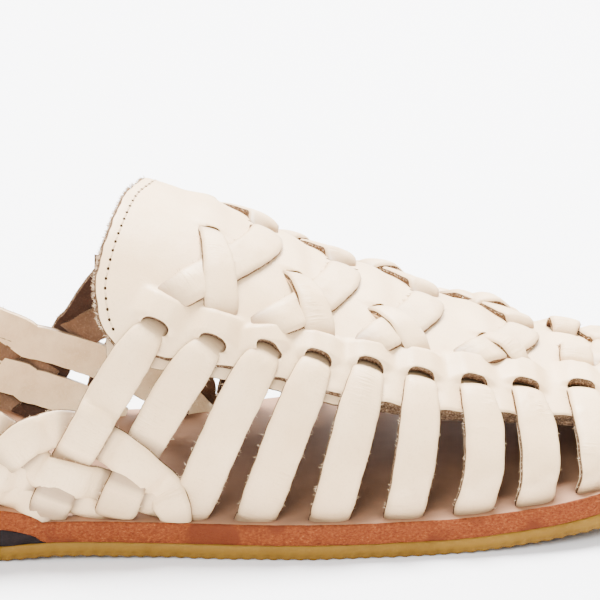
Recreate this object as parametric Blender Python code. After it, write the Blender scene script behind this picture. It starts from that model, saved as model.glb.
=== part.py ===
"""Woven leather sandal with a sling back, right shoe. Metres, +X to the toe, +Y to the inner side, +Z up."""
import math

import bmesh
import bpy
import numpy as np

# Driving sizes
LENGTH = 0.255            # heel to toe of the sole
BALL_WIDTH = 0.094        # sole across the ball
INSTEP_HEIGHT = 0.0655    # crest of the upper above the footbed, at the throat
RUBBER = 0.0036           # gum rubber outsole
MIDSOLE = 0.0046          # leather footbed
HEEL_LIFT = 0.006         # wedge under the heel
TOE_SPRING = 0.010        # lift of the toe's tip
TOE_SWING = 0.006         # shift of the toe's tip to the inner side
CREST_SHIFT = 0.008       # shift of the crest to the inner side
LEDGE = 0.0055            # footbed left bare outside the straps
TUCK = 0.0025             # how far the straps swell outside the line where they enter the footbed
TUCK_HEIGHT = 0.004       # height over which they swell
PANEL = 0.0018            # wall of the vamp panel
LINING = 0.0009           # its inner layer, which shows below its edge
LINING_SHOWS = 0.0022     # how far that layer reaches past the edge
STRAP = 0.0017            # thickness of a strap
STRAP_WIDTH = 0.0090      # width of a strap
LACE_WIDTH = 0.0082       # width of a lacing strip
GAP = 0.0003              # clearance between separate pieces
TONGUE = 0.0030           # depth of a strap's end in the footbed
BITE = 0.0005             # overlap of joined pieces
COARSENESS = math.radians(2)   # facets of the joined upper that lie this near one plane become one

# Where each table's share of the length is measured from: the heel's end.
# Outline: share of length, outer and inner reach as shares of the ball width
OUTLINE = [
    (0.00, 0.385, 0.350), (0.14, 0.408, 0.350), (0.30, 0.456, 0.348), (0.45, 0.466, 0.360),
    (0.62, 0.511, 0.450), (0.72, 0.513, 0.485), (0.85, 0.520, 0.480), (1.00, 0.500, 0.440),
]
HEEL_CAP = 0.14           # length of the rounded heel, share of length
TOE_CAP = 0.27            # length of the rounded toe, share of length
HEEL_POWER = 2.0
TOE_POWER = 2.2
# Lift of the sole: share of length, share of the toe spring
SPRING = [
    (0.00, 0.00), (0.30, 0.00), (0.37, 0.10), (0.44, 0.05), (0.52, 0.00), (0.70, 0.00),
    (0.78, 0.11), (0.85, 0.29), (0.92, 0.58), (1.00, 1.00),
]
# Heel wedge: share of length, share of the heel lift
WEDGE = [(0.00, 1.00), (0.22, 1.00), (0.28, 0.90), (0.318, 0.66), (0.345, 0.34), (0.358, 0.00), (1.00, 0.00)]
# Crest of the upper: share of length, share of the instep height
CREST = [
    (0.00, 1.45), (0.30, 1.22), (0.40, 1.02), (0.44, 0.985), (0.52, 0.875), (0.60, 0.700), (0.68, 0.563),
    (0.76, 0.420), (0.85, 0.265), (0.92, 0.200), (1.00, 0.170),
]
SQUARENESS = 2.15         # power of the upper's cross section
TOE_WALL = 0.07           # length over which the upper comes down at the toe, share of length
# Throat's edge: place across (0 crest, 1 strap line), share of length
THROAT = [(0.00, 0.452), (0.10, 0.438), (0.26, 0.422), (0.40, 0.409), (0.48, 0.404), (0.56, 0.407), (0.63, 0.424)]
# Side edge of the panel: share of length, place across
EDGE = [(0.40, 0.630), (0.47, 0.632), (0.57, 0.605), (0.67, 0.600), (0.77, 0.545), (0.83, 0.515), (0.95, 0.500)]
PANEL_END = 0.945         # end of the panel at the toe, share of length
END_ROUND = 0.065         # how much earlier it ends at its side edge, share of length
# Side straps: share of length and place across of the slot, then share of length of the foot
STRAPS = [
    (0.453, 0.555, 0.358), (0.508, 0.568, 0.417), (0.557, 0.536, 0.491), (0.603, 0.493, 0.549),
    (0.648, 0.461, 0.611), (0.697, 0.430, 0.676), (0.747, 0.395, 0.742), (0.796, 0.341, 0.796),
    (0.850, 0.283, 0.850), (0.893, 0.260, 0.902), (0.925, 0.170, 0.944),
]
# Lacing rows: share of length of the centre hole, then of the upper slot, the outer and the inner lower slots,
# each with its place across
LACING = [
    (0.565, 0.512, 0.17, 0.526, 0.42, 0.472, 0.446), (0.635, 0.590, 0.15, 0.606, 0.40, 0.563, 0.410),
    (0.711, 0.662, 0.20, 0.695, 0.34, 0.658, 0.343), (0.802, 0.757, 0.16, 0.793, 0.26, 0.752, 0.262),
    (0.880, 0.840, 0.08, 0.868, 0.18, 0.838, 0.170),
]
# Woven quarter: each strand's share of length, height as a share of the instep, and layer (0 in, 1 over)
ARC_FRONT = [
    (0.471, -0.02, 0.0), (0.463, 0.10, 0.2), (0.449, 0.21, 1.0), (0.424, 0.285, 0.6), (0.377, 0.315, 0.0),
    (0.336, 0.245, 1.0), (0.305, 0.150, 0.5), (0.275, 0.060, 0.0), (0.262, -0.02, 0.0),
]
ARC_BACK = [
    (0.346, -0.02, 0.0), (0.330, 0.060, 0.0), (0.300, 0.190, 0.0), (0.265, 0.275, 1.0), (0.225, 0.235, 0.5),
    (0.190, 0.130, 0.0), (0.172, -0.02, 0.0),
]
SLING_UPPER = [
    (0.481, -0.02, 0.0), (0.470, 0.040, 0.0), (0.451, 0.090, 0.3), (0.417, 0.136, 0.0), (0.369, 0.210, 1.0),
    (0.324, 0.275, 0.0), (0.262, 0.370, 0.0), (0.180, 0.510, 0.0), (0.100, 0.630, 0.0), (0.040, 0.710, 0.0),
]
SLING_LOWER = [
    (0.404, -0.02, 0.0), (0.392, 0.055, 0.4), (0.362, 0.105, 0.0), (0.332, 0.130, 0.8), (0.300, 0.175, 0.0),
    (0.262, 0.225, 1.0), (0.215, 0.290, 0.0), (0.150, 0.390, 0.0), (0.090, 0.480, 0.0), (0.040, 0.540, 0.0),
]
SLING_BACK = {"upper": 0.735, "lower": 0.560}      # height of each sling behind the heel, share of the instep


def table(rows, column, share):
    """One column of a table, read with a smooth curve that never overshoots its rows."""
    xs = np.array([row[0] for row in rows], float)
    ys = np.array([row[column] for row in rows], float)
    share = np.clip(np.asarray(share, float), xs[0], xs[-1])
    slopes = np.diff(ys) / np.diff(xs)
    tangents = np.zeros_like(ys)
    tangents[0], tangents[-1] = slopes[0], slopes[-1]
    for i in range(1, len(xs) - 1):
        before, after = slopes[i - 1], slopes[i]
        if before * after > 0:
            tangents[i] = 2 * before * after / (before + after)
    i = np.clip(np.searchsorted(xs, share, side="right") - 1, 0, len(xs) - 2)
    step = xs[i + 1] - xs[i]
    u = (share - xs[i]) / step
    return ((2 * u**3 - 3 * u**2 + 1) * ys[i] + (u**3 - 2 * u**2 + u) * step * tangents[i]
            + (3 * u**2 - 2 * u**3) * ys[i + 1] + (u**3 - u**2) * step * tangents[i + 1])


def share_at(x):
    return np.asarray(x, float) / LENGTH + 0.5


def ease(u):
    u = np.clip(u, 0, 1)
    return u * u * (3 - 2 * u)


def swing(x):
    """The centre line's shift to the inner side."""
    return TOE_SWING * ease((share_at(x) - 0.55) / 0.45)


def crest_shift(x):
    """The crest's shift from the centre line, which fades at the toe."""
    return CREST_SHIFT * (1 - ease((share_at(x) - 0.85) / 0.15))


def reach(x, side, inset=0.0):
    """Half width of the outline, moved in by an inset; side is -1 outer, +1 inner."""
    share = np.clip(np.asarray(x, float) / (LENGTH - 2 * inset) + 0.5, 0, 1)
    outer = table(OUTLINE, 1, share_at(x))
    inner = table(OUTLINE, 2, share_at(x))
    half = np.where(np.asarray(side) < 0, outer, inner) * BALL_WIDTH - inset
    heel = np.clip(1 - share / HEEL_CAP, 0, 1)
    toe = np.clip(1 - (1 - share) / TOE_CAP, 0, 1)
    return half * (1 - heel**HEEL_POWER) ** (1 / HEEL_POWER) * (1 - toe**TOE_POWER) ** (1 / TOE_POWER)


def ground(x):
    return table(SPRING, 1, share_at(x)) * TOE_SPRING


def wedge(x):
    return table(WEDGE, 1, share_at(x)) * HEEL_LIFT


def footbed(x):
    """Top of the midsole."""
    return ground(x) + RUBBER + np.maximum(wedge(x), GAP) + MIDSOLE


def crest_height(x):
    tip = LENGTH / 2 - LEDGE
    down = np.clip(1 - (tip - np.asarray(x, float)) / (TOE_WALL * LENGTH), 0, 1)
    return table(CREST, 1, share_at(x)) * INSTEP_HEIGHT * np.sqrt(np.maximum(1 - down**2, 0.0025))


def swell(height):
    return TUCK * (1 - np.exp(-np.maximum(height, 0) / TUCK_HEIGHT))


def last(x, t):
    """Inner face of the upper: t is -1 on the outer strap line, 0 on the crest, +1 on the inner strap line."""
    x, t = np.broadcast_arrays(np.asarray(x, float), np.asarray(t, float))
    side = np.where(t < 0, -1.0, 1.0)
    angle = np.clip(1 - np.abs(t), 0, 1) * math.pi / 2
    rise = np.sin(angle) ** (2 / SQUARENESS)
    across = np.clip(np.cos(angle), 0, 1) ** (2 / SQUARENESS)
    height = crest_height(x) * rise
    shift = crest_shift(x)
    half = reach(x, side, LEDGE)
    y = swing(x) + shift + side * (half - side * shift + swell(height)) * across
    below = np.maximum(np.abs(t) - 1, 0) * INSTEP_HEIGHT
    return np.stack([x, y, footbed(x) + height - below], -1)


def wall(turn, height):
    """The same face round the heel: turn is 0 at the back, negative on the outer side, and gives x by a cosine."""
    turn, height = np.broadcast_arrays(np.asarray(turn, float), np.asarray(height, float))
    side = np.where(turn < 0, -1.0, 1.0)
    back = -LENGTH / 2 + LEDGE
    run = LENGTH / 2
    x = back + run * (1 - np.cos(turn))
    step = 1e-3

    def foot(angle):
        where = back + run * (1 - np.cos(angle))
        return np.stack([where, swing(where) + np.sign(angle) * reach(where, np.sign(angle), LEDGE)], -1)

    ahead = foot(turn + step) - foot(turn - step)
    outward = np.stack([ahead[..., 1], -ahead[..., 0]], -1)
    outward = -outward / np.linalg.norm(outward, axis=-1, keepdims=True)
    high = np.clip(height, 0, None)
    widest = np.where(side < 0, table(OUTLINE, 1, share_at(x)), table(OUTLINE, 2, share_at(x))) * BALL_WIDTH
    flat = widest - LEDGE - side * crest_shift(x)
    lean = (1 - (high / crest_height(x)) ** SQUARENESS) ** (1 / SQUARENESS)
    inset = flat * (1 - lean) - swell(high) * lean
    plan = foot(turn) - outward * inset[..., None]
    return np.concatenate([plan, (footbed(x) + height)[..., None]], -1)


def turn_at(share, side):
    """The wall's turn at a share of the length."""
    x = (share - 0.5) * LENGTH
    back = -LENGTH / 2 + LEDGE
    return side * math.acos(1 - (x - back) / (LENGTH / 2))


def frames(surface, u, v):
    """Points of a surface with its two tangents and its outward normal."""
    du, dv = 1e-4, 1e-3
    along = (surface(u + du, v) - surface(u - du, v)) / (2 * du)
    over = (surface(u, v + dv) - surface(u, v - dv)) / (2 * dv)
    normal = np.cross(along, over) * (-1 if surface is wall else 1)
    normal /= np.linalg.norm(normal, axis=-1, keepdims=True)
    return surface(u, v), along, over, normal


def curve_through(rows, steps):
    """Smooth curve through the rows of a table, with a number of steps between each two."""
    rows = np.array(rows, float)
    ends = np.vstack([2 * rows[0] - rows[1], rows, 2 * rows[-1] - rows[-2]])
    points = []
    for i in range(len(rows) - 1):
        a, b, c, d = ends[i:i + 4]
        for u in np.arange(steps) / steps:
            points.append(0.5 * (2 * b + (c - a) * u + (2 * a - 5 * b + 4 * c - d) * u**2
                                 + (3 * b - a - 3 * c + d) * u**3))
    points.append(rows[-1])
    return np.array(points)


def ribbon(surface, rows, width, thick=STRAP, steps=1):
    """Corners of a flat strip over a surface; each row is two places on it and the height of its middle."""
    u, v, level = curve_through(rows, steps).T
    point, _, _, normal = frames(surface, u, v)
    centre = point + normal * level[:, None]
    forward = np.gradient(centre, axis=0)
    across = np.cross(normal, forward)
    across *= width / 2 / np.linalg.norm(across, axis=-1, keepdims=True)
    rise = normal * thick / 2
    return np.stack([centre - across - rise, centre + across - rise, centre + across + rise,
                     centre - across + rise], 1)


def loft(rings):
    """Vertices and faces of a closed solid through rings of equal count."""
    rings = np.asarray(rings)
    count, sides = rings.shape[:2]
    faces = []
    for i in range(count - 1):
        for j in range(sides):
            k = (j + 1) % sides
            faces.append((i * sides + j, i * sides + k, (i + 1) * sides + k, (i + 1) * sides + j))
    faces.append(tuple(reversed(range(sides))))
    faces.append(tuple((count - 1) * sides + j for j in range(sides)))
    return rings.reshape(-1, 3), faces


def solid(name, vertices, faces, group, material=None):
    """A closed mesh object with its faces turned out."""
    mesh = bpy.data.meshes.new(name)
    mesh.from_pydata([tuple(v) for v in vertices], [], faces)
    work = bmesh.new()
    work.from_mesh(mesh)
    bmesh.ops.triangulate(work, faces=work.faces)
    if work.calc_volume(signed=True) < 0:
        bmesh.ops.reverse_faces(work, faces=work.faces)
    work.to_mesh(mesh)
    work.free()
    thing = bpy.data.objects.new(name, mesh)
    group.objects.link(thing)
    if material:
        mesh.materials.append(material)
    else:
        thing.hide_render = True
        thing.display_type = "WIRE"
    return thing


def boolean(target, operation, group, solver="EXACT"):
    step = target.modifiers.new(operation.lower() + "_" + group.name, "BOOLEAN")
    step.operation = operation
    step.operand_type = "COLLECTION"
    step.collection = group
    step.solver = solver


def finish(name, colour, roughness):
    material = bpy.data.materials.new(name)
    material.use_nodes = True
    shader = material.node_tree.nodes["Principled BSDF"]
    shader.inputs["Base Color"].default_value = (*colour, 1)
    shader.inputs["Roughness"].default_value = roughness
    shader.inputs["Metallic"].default_value = 0.0
    return material


def new_group(name):
    group = bpy.data.collections.new(name)
    bpy.context.scene.collection.children.link(group)
    return group


def stations(first, final, count):
    """Places along the sole, closer together towards its rounded ends."""
    share = (1 - np.cos(math.pi * np.linspace(0, 1, count))) / 2
    return first + (final - first) * share


def sole_layer(name, low, high, xs, group, material):
    """One layer of the sole between two heights, with its edges slightly broken."""
    edge = 0.0006
    rings = []
    for x in xs:
        outer, inner = reach(x, -1), reach(x, 1)
        bottom, top = low(x), high(x)
        small = min(edge, (top - bottom) / 3, outer / 3, inner / 3)
        ring = []
        for side, half in ((-1, outer), (1, inner)):
            corners = [(half - small, bottom), (half, bottom + small), (half, top - small), (half - small, top)]
            corners = corners if side > 0 else corners[::-1]
            ring += [(x, swing(x) + side * out, height) for out, height in corners]
        rings.append(ring)
    return solid(name, *loft(rings), group, material)


def levels():
    """Heights of a strip's middle above the last, by where it runs."""
    on = PANEL + STRAP / 2 - BITE
    return {
        "under": BITE - STRAP / 2, "through": PANEL / 2, "on": on, "over": on + STRAP - BITE,
        "in": STRAP / 2, "woven": STRAP / 2 + STRAP - BITE,
    }


def between(a, b, u):
    return a + (b - a) * u


def side_strap(row, side, lead):
    """Rows of a side strap from under the panel, out of its slot and down to the footbed."""
    slot, across, foot = row
    at = levels()
    edge = float(table(EDGE, 1, slot))
    places = [
        (across - 0.045, at["under"]), (across + 0.015, at["on"]), (edge, at["on"]),
        (edge + 0.09, at["in"]), (between(edge, 1, 0.65), at["in"]), (0.965, at["in"]), (1.02, at["in"]),
    ]
    rows = [(between(slot, foot, (t - across) / (1 - across)), t, level) for t, level in places]
    return [((share - 0.5) * LENGTH, side * t, level) for share, t, level in lead + rows]


def lacing(row, side, kind):
    """Rows of one lacing strip, from its upper hole to its lower one, under the panel."""
    hole, top, top_t, low_a, low_a_t, low_b, low_b_t = row
    at = levels()
    if kind == "over":
        start, end = (top, top_t), (low_a, low_a_t)
        heights = ((0, at["through"]), (0.16, at["on"]), (0.5, at["over"]), (0.84, at["on"]), (1, at["through"]))
    else:
        start, end = (hole, 0.02), (low_b, low_b_t)
        heights = ((0, at["through"]), (0.14, at["on"]), (0.5, at["on"]), (0.86, at["on"]), (1, at["through"]))
    return [(between(start[0], end[0], u), between(start[1], end[1], u), level) for u, level in heights]


def strands():
    """Every strip of the upper as a named list of its rows on the last."""
    found = {}
    for side, word in ((-1, "outer"), (1, "inner")):
        for number, row in enumerate(STRAPS, start=1):
            crossing, kind = (number - 1) // 2, "under" if number % 2 else "over"
            lead = lacing(LACING[crossing], side, kind) if crossing < len(LACING) else []
            found[f"strap_{word}_{number:02d}"] = side_strap(row, side, lead)
    return found


def quarter_strands():
    """The woven strands at each side and the two slings, as rows on the wall round the heel."""
    at = levels()

    def rows(strand, side):
        return [(turn_at(share, side), high * INSTEP_HEIGHT, between(at["in"], at["woven"], layer))
                for share, high, layer in strand]

    found = {}
    for side, word in ((-1, "outer"), (1, "inner")):
        found["arc_front_" + word] = rows(ARC_FRONT, side)
        found["arc_back_" + word] = rows(ARC_BACK, side)
    for name, strand in (("upper", SLING_UPPER), ("lower", SLING_LOWER)):
        back = [(0.0, SLING_BACK[name] * INSTEP_HEIGHT, at["in"])]
        found["sling_" + name] = rows(strand, -1) + back + rows(strand, 1)[::-1]
    return found


def toe_strap():
    """Corners of the middle strap at the toe, from its slot over the panel's end down to the footbed."""
    at = levels()
    tip = LENGTH / 2 - LEDGE
    shares = ((0.905, at["under"]), (0.918, at["on"]), (PANEL_END, at["on"]), (0.956, at["in"] + BITE))
    path = []
    for share, level in shares:
        x = (share - 0.5) * LENGTH
        point, _, _, normal = frames(last, np.array([x]), np.array([0.001]))
        path.append(point[0] + normal[0] * level)
    top = path[-1]
    path.append(np.array([tip - 0.0015, top[1], float(footbed(tip)) + 0.0055]))
    path.append(np.array([tip, top[1], float(footbed(tip)) + 0.0015]))
    path.append(np.array([tip, top[1], float(footbed(tip)) - 0.0010]))
    path = curve_through(path, 2)
    forward = np.gradient(path, axis=0)
    forward /= np.linalg.norm(forward, axis=-1, keepdims=True)
    sideways = np.array([0.0, 1.0, 0.0])
    normal = np.cross(forward, sideways)
    half = sideways * STRAP_WIDTH / 2
    return np.stack([path - half - normal * STRAP / 2, path + half - normal * STRAP / 2,
                     path + half + normal * STRAP / 2, path - half + normal * STRAP / 2], 1)


def panel(group, material):
    """The vamp panel: one wall on the last, with its inner layer showing past the side edges."""
    rows = 16
    across = 13
    step = 0.004
    shows = LINING_SHOWS / INSTEP_HEIGHT
    columns = [(-1.0, -shows, LINING), (-1.0, -step, LINING)]
    columns += [(v, 0.0, PANEL) for v in np.linspace(-1, 1, across)]
    columns += [(1.0, step, LINING), (1.0, shows, LINING)]
    u = np.linspace(0, 1, rows)
    top, bottom = [], []
    for v, extra, thick in columns:
        start = float(table(THROAT, 1, abs(v) * THROAT[-1][0]))
        end = PANEL_END - END_ROUND * abs(v)**3
        share = between(start, end, u)
        t = v * table(EDGE, 1, share) + extra
        point, _, _, normal = frames(last, (share - 0.5) * LENGTH, t)
        top.append(point + normal * thick)
        bottom.append(point)
    top, bottom = np.array(top), np.array(bottom)
    rings = [np.vstack([top[:, i], bottom[::-1, i]]) for i in range(rows)]
    return solid("upper", *loft(rings), group, material)


def slot_cutter(name, share, t, group):
    """A lens-shaped cutter through the panel, its long axis along the shoe."""
    wide, tall, sides = STRAP_WIDTH + 4 * GAP, 2 * STRAP, 6
    point, along, _, normal = frames(last, np.array([(share - 0.5) * LENGTH]), np.array([t]))
    long_axis = along[0] / np.linalg.norm(along[0])
    short_axis = np.cross(normal[0], long_axis)
    rings = []
    for depth in (-PANEL, 2 * PANEL):
        angles = np.arange(sides) * 2 * math.pi / sides
        rings.append([point[0] + normal[0] * depth + long_axis * wide / 2 * math.cos(angle)
                      + short_axis * tall / 2 * math.sin(angle) for angle in angles])
    solid(name, *loft(rings), group)


def slots(group):
    """Openings in the panel for the side straps."""
    for side, word in ((-1, "outer"), (1, "inner")):
        for number, (share, t, foot) in enumerate(STRAPS, start=1):
            slot_cutter(f"slot_{word}_{number:02d}", share, side * (t - 0.012), group)


def tongue_rings(row, side, extra):
    """Corners of a strap's end in the footbed, larger by a clearance for the slit that takes it."""
    slot, across, foot = row
    x = (foot - 0.5) * LENGTH
    point, along, _, normal = frames(last, np.array([x]), np.array([side * 1.01]))
    along = along[0] * [1, 1, 0] / np.linalg.norm(along[0][:2])
    normal = normal[0] * STRAP / 2
    level = float(footbed(x))
    wide = along * (STRAP_WIDTH / 2 - 2 * GAP + extra)
    thick = normal / np.linalg.norm(normal) * (STRAP / 2 - GAP / 2 + extra)
    rings = []
    for height in (level + (TONGUE if extra else 0.7 * TONGUE), level - TONGUE - extra):
        middle = np.array([point[0][0], point[0][1], height]) + normal
        rings.append([middle - wide - thick, middle + wide - thick, middle + wide + thick, middle - wide + thick])
    return rings


def tongues(group, extra):
    for side, word in ((-1, "outer"), (1, "inner")):
        for number, row in enumerate(STRAPS, start=1):
            solid(f"{group.name}_{word}_{number:02d}", *loft(tongue_rings(row, side, extra)), group)


def clear_of_footbed(xs, group):
    """Everything of the upper below the footbed's top, with the clearance, is cut away by this slab."""
    rings = []
    for x in xs:
        top = float(footbed(x)) + GAP
        rings.append([(x, -BALL_WIDTH, top - 0.02), (x, BALL_WIDTH, top - 0.02), (x, BALL_WIDTH, top),
                      (x, -BALL_WIDTH, top)])
    solid("below_footbed", *loft(rings), group)


def build():
    for thing in list(bpy.data.objects):
        bpy.data.objects.remove(thing, do_unlink=True)
    shoe = new_group("huarache_sandal")
    rubber = finish("gum_rubber", (0.47, 0.25, 0.055), 0.6)
    edge_leather = finish("natural_leather", (0.52, 0.20, 0.09), 0.7)
    cream = finish("cream_leather", (0.80, 0.72, 0.60), 0.45)
    dark = finish("dark_rubber", (0.07, 0.055, 0.06), 0.7)

    ends = LENGTH / 2 - 0.0003
    wedge_places = [(row[0] - 0.5) * LENGTH for row in WEDGE[2:6]]
    whole = np.sort(np.append(stations(-ends, ends, 44), wedge_places))
    sole_layer("outsole", ground, lambda x: ground(x) + RUBBER, whole, shoe, rubber)
    midsole = sole_layer("midsole", lambda x: ground(x) + RUBBER + max(wedge(x), GAP), footbed, whole, shoe,
                         edge_leather)
    under_heel = [x for x in whole if wedge(x) > 5 * GAP]
    sole_layer("heel_wedge", lambda x: ground(x) + RUBBER + GAP, lambda x: ground(x) + RUBBER + wedge(x) - GAP,
               under_heel, shoe, dark)

    upper = panel(shoe, cream)
    openings = new_group("slots")
    slots(openings)
    straps = new_group("straps")
    for name, rows in strands().items():
        solid(name, *loft(ribbon(last, rows, STRAP_WIDTH)), straps)
    for name, rows in quarter_strands().items():
        steps = 2 if name.startswith("sling") else 1
        solid(name, *loft(ribbon(wall, rows, STRAP_WIDTH, steps=steps)), straps)
    solid("toe_strap", *loft(toe_strap()), straps)
    below = new_group("below")
    clear_of_footbed(whole, below)
    ends_in_footbed = new_group("tongues")
    tongues(ends_in_footbed, 0.0)
    slits = new_group("slits")
    tongues(slits, GAP)
    boolean(upper, "DIFFERENCE", openings, "MANIFOLD")
    boolean(upper, "UNION", straps, "MANIFOLD")
    boolean(upper, "DIFFERENCE", below, "MANIFOLD")
    boolean(upper, "UNION", ends_in_footbed, "MANIFOLD")
    boolean(midsole, "DIFFERENCE", slits)
    coarser = upper.modifiers.new("coarser", "DECIMATE")
    coarser.decimate_type = "DISSOLVE"
    coarser.angle_limit = COARSENESS
    for group in (openings, straps, below, ends_in_footbed, slits):
        group.hide_render = True


build()
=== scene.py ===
# %% [markdown]
# A woven leather sandal with a sling back, dressed for its picture. The frame brings the plain solids,
# already at their real size. Everything below is made around them in the same metres, so nothing is fitted.

# %% Load the frame
import math

import bmesh
import bpy
import numpy as np
from mathutils import Matrix, Vector
from mathutils.bvhtree import BVHTree


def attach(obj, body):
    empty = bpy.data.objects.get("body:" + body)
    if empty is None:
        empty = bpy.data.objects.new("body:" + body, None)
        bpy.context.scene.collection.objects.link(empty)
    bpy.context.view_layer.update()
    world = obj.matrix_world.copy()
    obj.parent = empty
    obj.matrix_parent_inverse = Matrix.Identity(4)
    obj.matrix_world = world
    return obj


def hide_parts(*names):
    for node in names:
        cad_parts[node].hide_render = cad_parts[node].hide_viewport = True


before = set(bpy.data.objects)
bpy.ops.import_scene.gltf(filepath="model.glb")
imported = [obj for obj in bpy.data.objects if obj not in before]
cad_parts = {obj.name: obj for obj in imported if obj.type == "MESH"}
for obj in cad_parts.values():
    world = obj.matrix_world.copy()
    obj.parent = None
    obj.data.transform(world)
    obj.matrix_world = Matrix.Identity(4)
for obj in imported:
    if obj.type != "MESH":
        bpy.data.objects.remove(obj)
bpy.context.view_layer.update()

# %% [markdown]
# A shoe is drawn round a last, the wooden foot that the leather is pulled over. These are the last's
# driving sizes and the sole's outline, written as shares of the length and the ball width. A scene can't
# read the solids' own script, so it repeats the same sizes and tables, and every strip then lands where
# its solid does.

# %% Sizes of the shoe
LENGTH = 0.255            # heel to toe of the sole
BALL_WIDTH = 0.094        # sole across the ball
INSTEP_HEIGHT = 0.0655    # crest of the upper above the footbed, at the throat
RUBBER = 0.0036           # gum rubber outsole
MIDSOLE = 0.0046          # leather footbed
HEEL_LIFT = 0.006         # wedge under the heel
TOE_SPRING = 0.010        # lift of the toe's tip
TOE_SWING = 0.006         # shift of the toe's tip to the inner side
CREST_SHIFT = 0.008       # shift of the crest to the inner side
LEDGE = 0.0055            # footbed left bare outside the straps
TUCK = 0.0025             # how far the straps swell outside the line where they enter the footbed
TUCK_HEIGHT = 0.004       # height over which they swell
PANEL = 0.0018            # wall of the vamp panel
LINING = 0.0009           # its inner layer, which shows below its edge
STRAP = 0.0017            # thickness of a strap
STRAP_WIDTH = 0.0094      # width of a strap
SEAT = 0.0003             # clearance under the upper in the solids

OUTLINE = [
    (0.00, 0.385, 0.350), (0.14, 0.408, 0.350), (0.30, 0.456, 0.348), (0.45, 0.466, 0.360),
    (0.62, 0.511, 0.450), (0.72, 0.513, 0.485), (0.85, 0.520, 0.480), (1.00, 0.500, 0.440),
]
HEEL_CAP, HEEL_POWER = 0.14, 2.0
TOE_CAP, TOE_POWER = 0.27, 2.2
SPRING = [
    (0.00, 0.00), (0.30, 0.00), (0.37, 0.10), (0.44, 0.05), (0.52, 0.00), (0.70, 0.00),
    (0.78, 0.11), (0.85, 0.29), (0.92, 0.58), (1.00, 1.00),
]
WEDGE = [(0.00, 1.00), (0.22, 1.00), (0.28, 0.90), (0.318, 0.66), (0.345, 0.34), (0.358, 0.00), (1.00, 0.00)]
CREST = [
    (0.00, 1.45), (0.30, 1.22), (0.40, 1.02), (0.44, 0.985), (0.52, 0.875), (0.60, 0.700), (0.68, 0.563),
    (0.76, 0.420), (0.85, 0.265), (0.92, 0.200), (1.00, 0.170),
]
SQUARENESS = 2.15
TOE_WALL = 0.07
print("sole", LENGTH, "m long and", BALL_WIDTH, "m across the ball")

# %% [markdown]
# The tables are read with a smooth curve that never overshoots its rows, so a few rows give a clean line.
# From them come the outline, the ground line with its toe spring, and the last's own surface.

# %% Reading a table
def table(rows, column, share):
    """One column of a table, read at a share of the length with a smooth curve."""
    xs = np.array([row[0] for row in rows], float)
    ys = np.array([row[column] for row in rows], float)
    share = np.clip(np.asarray(share, float), xs[0], xs[-1])
    slopes = np.diff(ys) / np.diff(xs)
    tangents = np.zeros_like(ys)
    tangents[0], tangents[-1] = slopes[0], slopes[-1]
    for i in range(1, len(xs) - 1):
        before, after = slopes[i - 1], slopes[i]
        if before * after > 0:
            tangents[i] = 2 * before * after / (before + after)
    i = np.clip(np.searchsorted(xs, share, side="right") - 1, 0, len(xs) - 2)
    step = xs[i + 1] - xs[i]
    u = (share - xs[i]) / step
    return ((2 * u**3 - 3 * u**2 + 1) * ys[i] + (u**3 - 2 * u**2 + u) * step * tangents[i]
            + (3 * u**2 - 2 * u**3) * ys[i + 1] + (u**3 - u**2) * step * tangents[i + 1])


print("crest halfway along:", round(float(table(CREST, 1, 0.5)), 3), "of its height at the throat")

# %% [markdown]
# Two small conversions are needed all the time: from metres along the sole to a share of its length and back.
# The outline, the ground line and the crest follow from the tables, each as a function of the place.

# %% Outline, ground and crest
def share_at(x):
    return np.asarray(x, float) / LENGTH + 0.5


def x_at(share):
    return (share - 0.5) * LENGTH


def ease(u):
    u = np.clip(u, 0, 1)
    return u * u * (3 - 2 * u)


def between(a, b, u):
    return a + (b - a) * u


def swing(x):
    return TOE_SWING * ease((share_at(x) - 0.55) / 0.45)


def crest_shift(x):
    return CREST_SHIFT * (1 - ease((share_at(x) - 0.85) / 0.15))


def reach(x, side, inset=0.0):
    """Half width of the outline on one side, or of the same outline drawn further in."""
    share = np.clip(np.asarray(x, float) / (LENGTH - 2 * inset) + 0.5, 0, 1)
    outer = table(OUTLINE, 1, share_at(x))
    inner = table(OUTLINE, 2, share_at(x))
    half = np.where(np.asarray(side) < 0, outer, inner) * BALL_WIDTH - inset
    heel = np.clip(1 - share / HEEL_CAP, 0, 1)
    toe = np.clip(1 - (1 - share) / TOE_CAP, 0, 1)
    return half * (1 - heel**HEEL_POWER) ** (1 / HEEL_POWER) * (1 - toe**TOE_POWER) ** (1 / TOE_POWER)


def ground(x):
    return table(SPRING, 1, share_at(x)) * TOE_SPRING


def wedge(x):
    return table(WEDGE, 1, share_at(x)) * HEEL_LIFT


def footbed(x):
    """Height of the footbed's top."""
    return ground(x) + RUBBER + np.maximum(wedge(x), SEAT) + MIDSOLE


def crest_height(x):
    tip = LENGTH / 2 - LEDGE
    down = np.clip(1 - (tip - np.asarray(x, float)) / (TOE_WALL * LENGTH), 0, 1)
    return table(CREST, 1, share_at(x)) * INSTEP_HEIGHT * np.sqrt(np.maximum(1 - down**2, 0.0025))


def swell(height):
    """How far the straps stand outside their feet at a height above the footbed."""
    return TUCK * (1 - np.exp(-np.maximum(height, 0) / TUCK_HEIGHT))


print("half width at the ball, outer side:", round(float(reach(x_at(0.72), -1)) * 1000, 1), "mm")

# %% [markdown]
# The last itself is a surface with two places: one along the shoe and one across it. Round the heel the same
# face is easier to walk by an angle and a height, so it has a second function that gives the same points.

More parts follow.
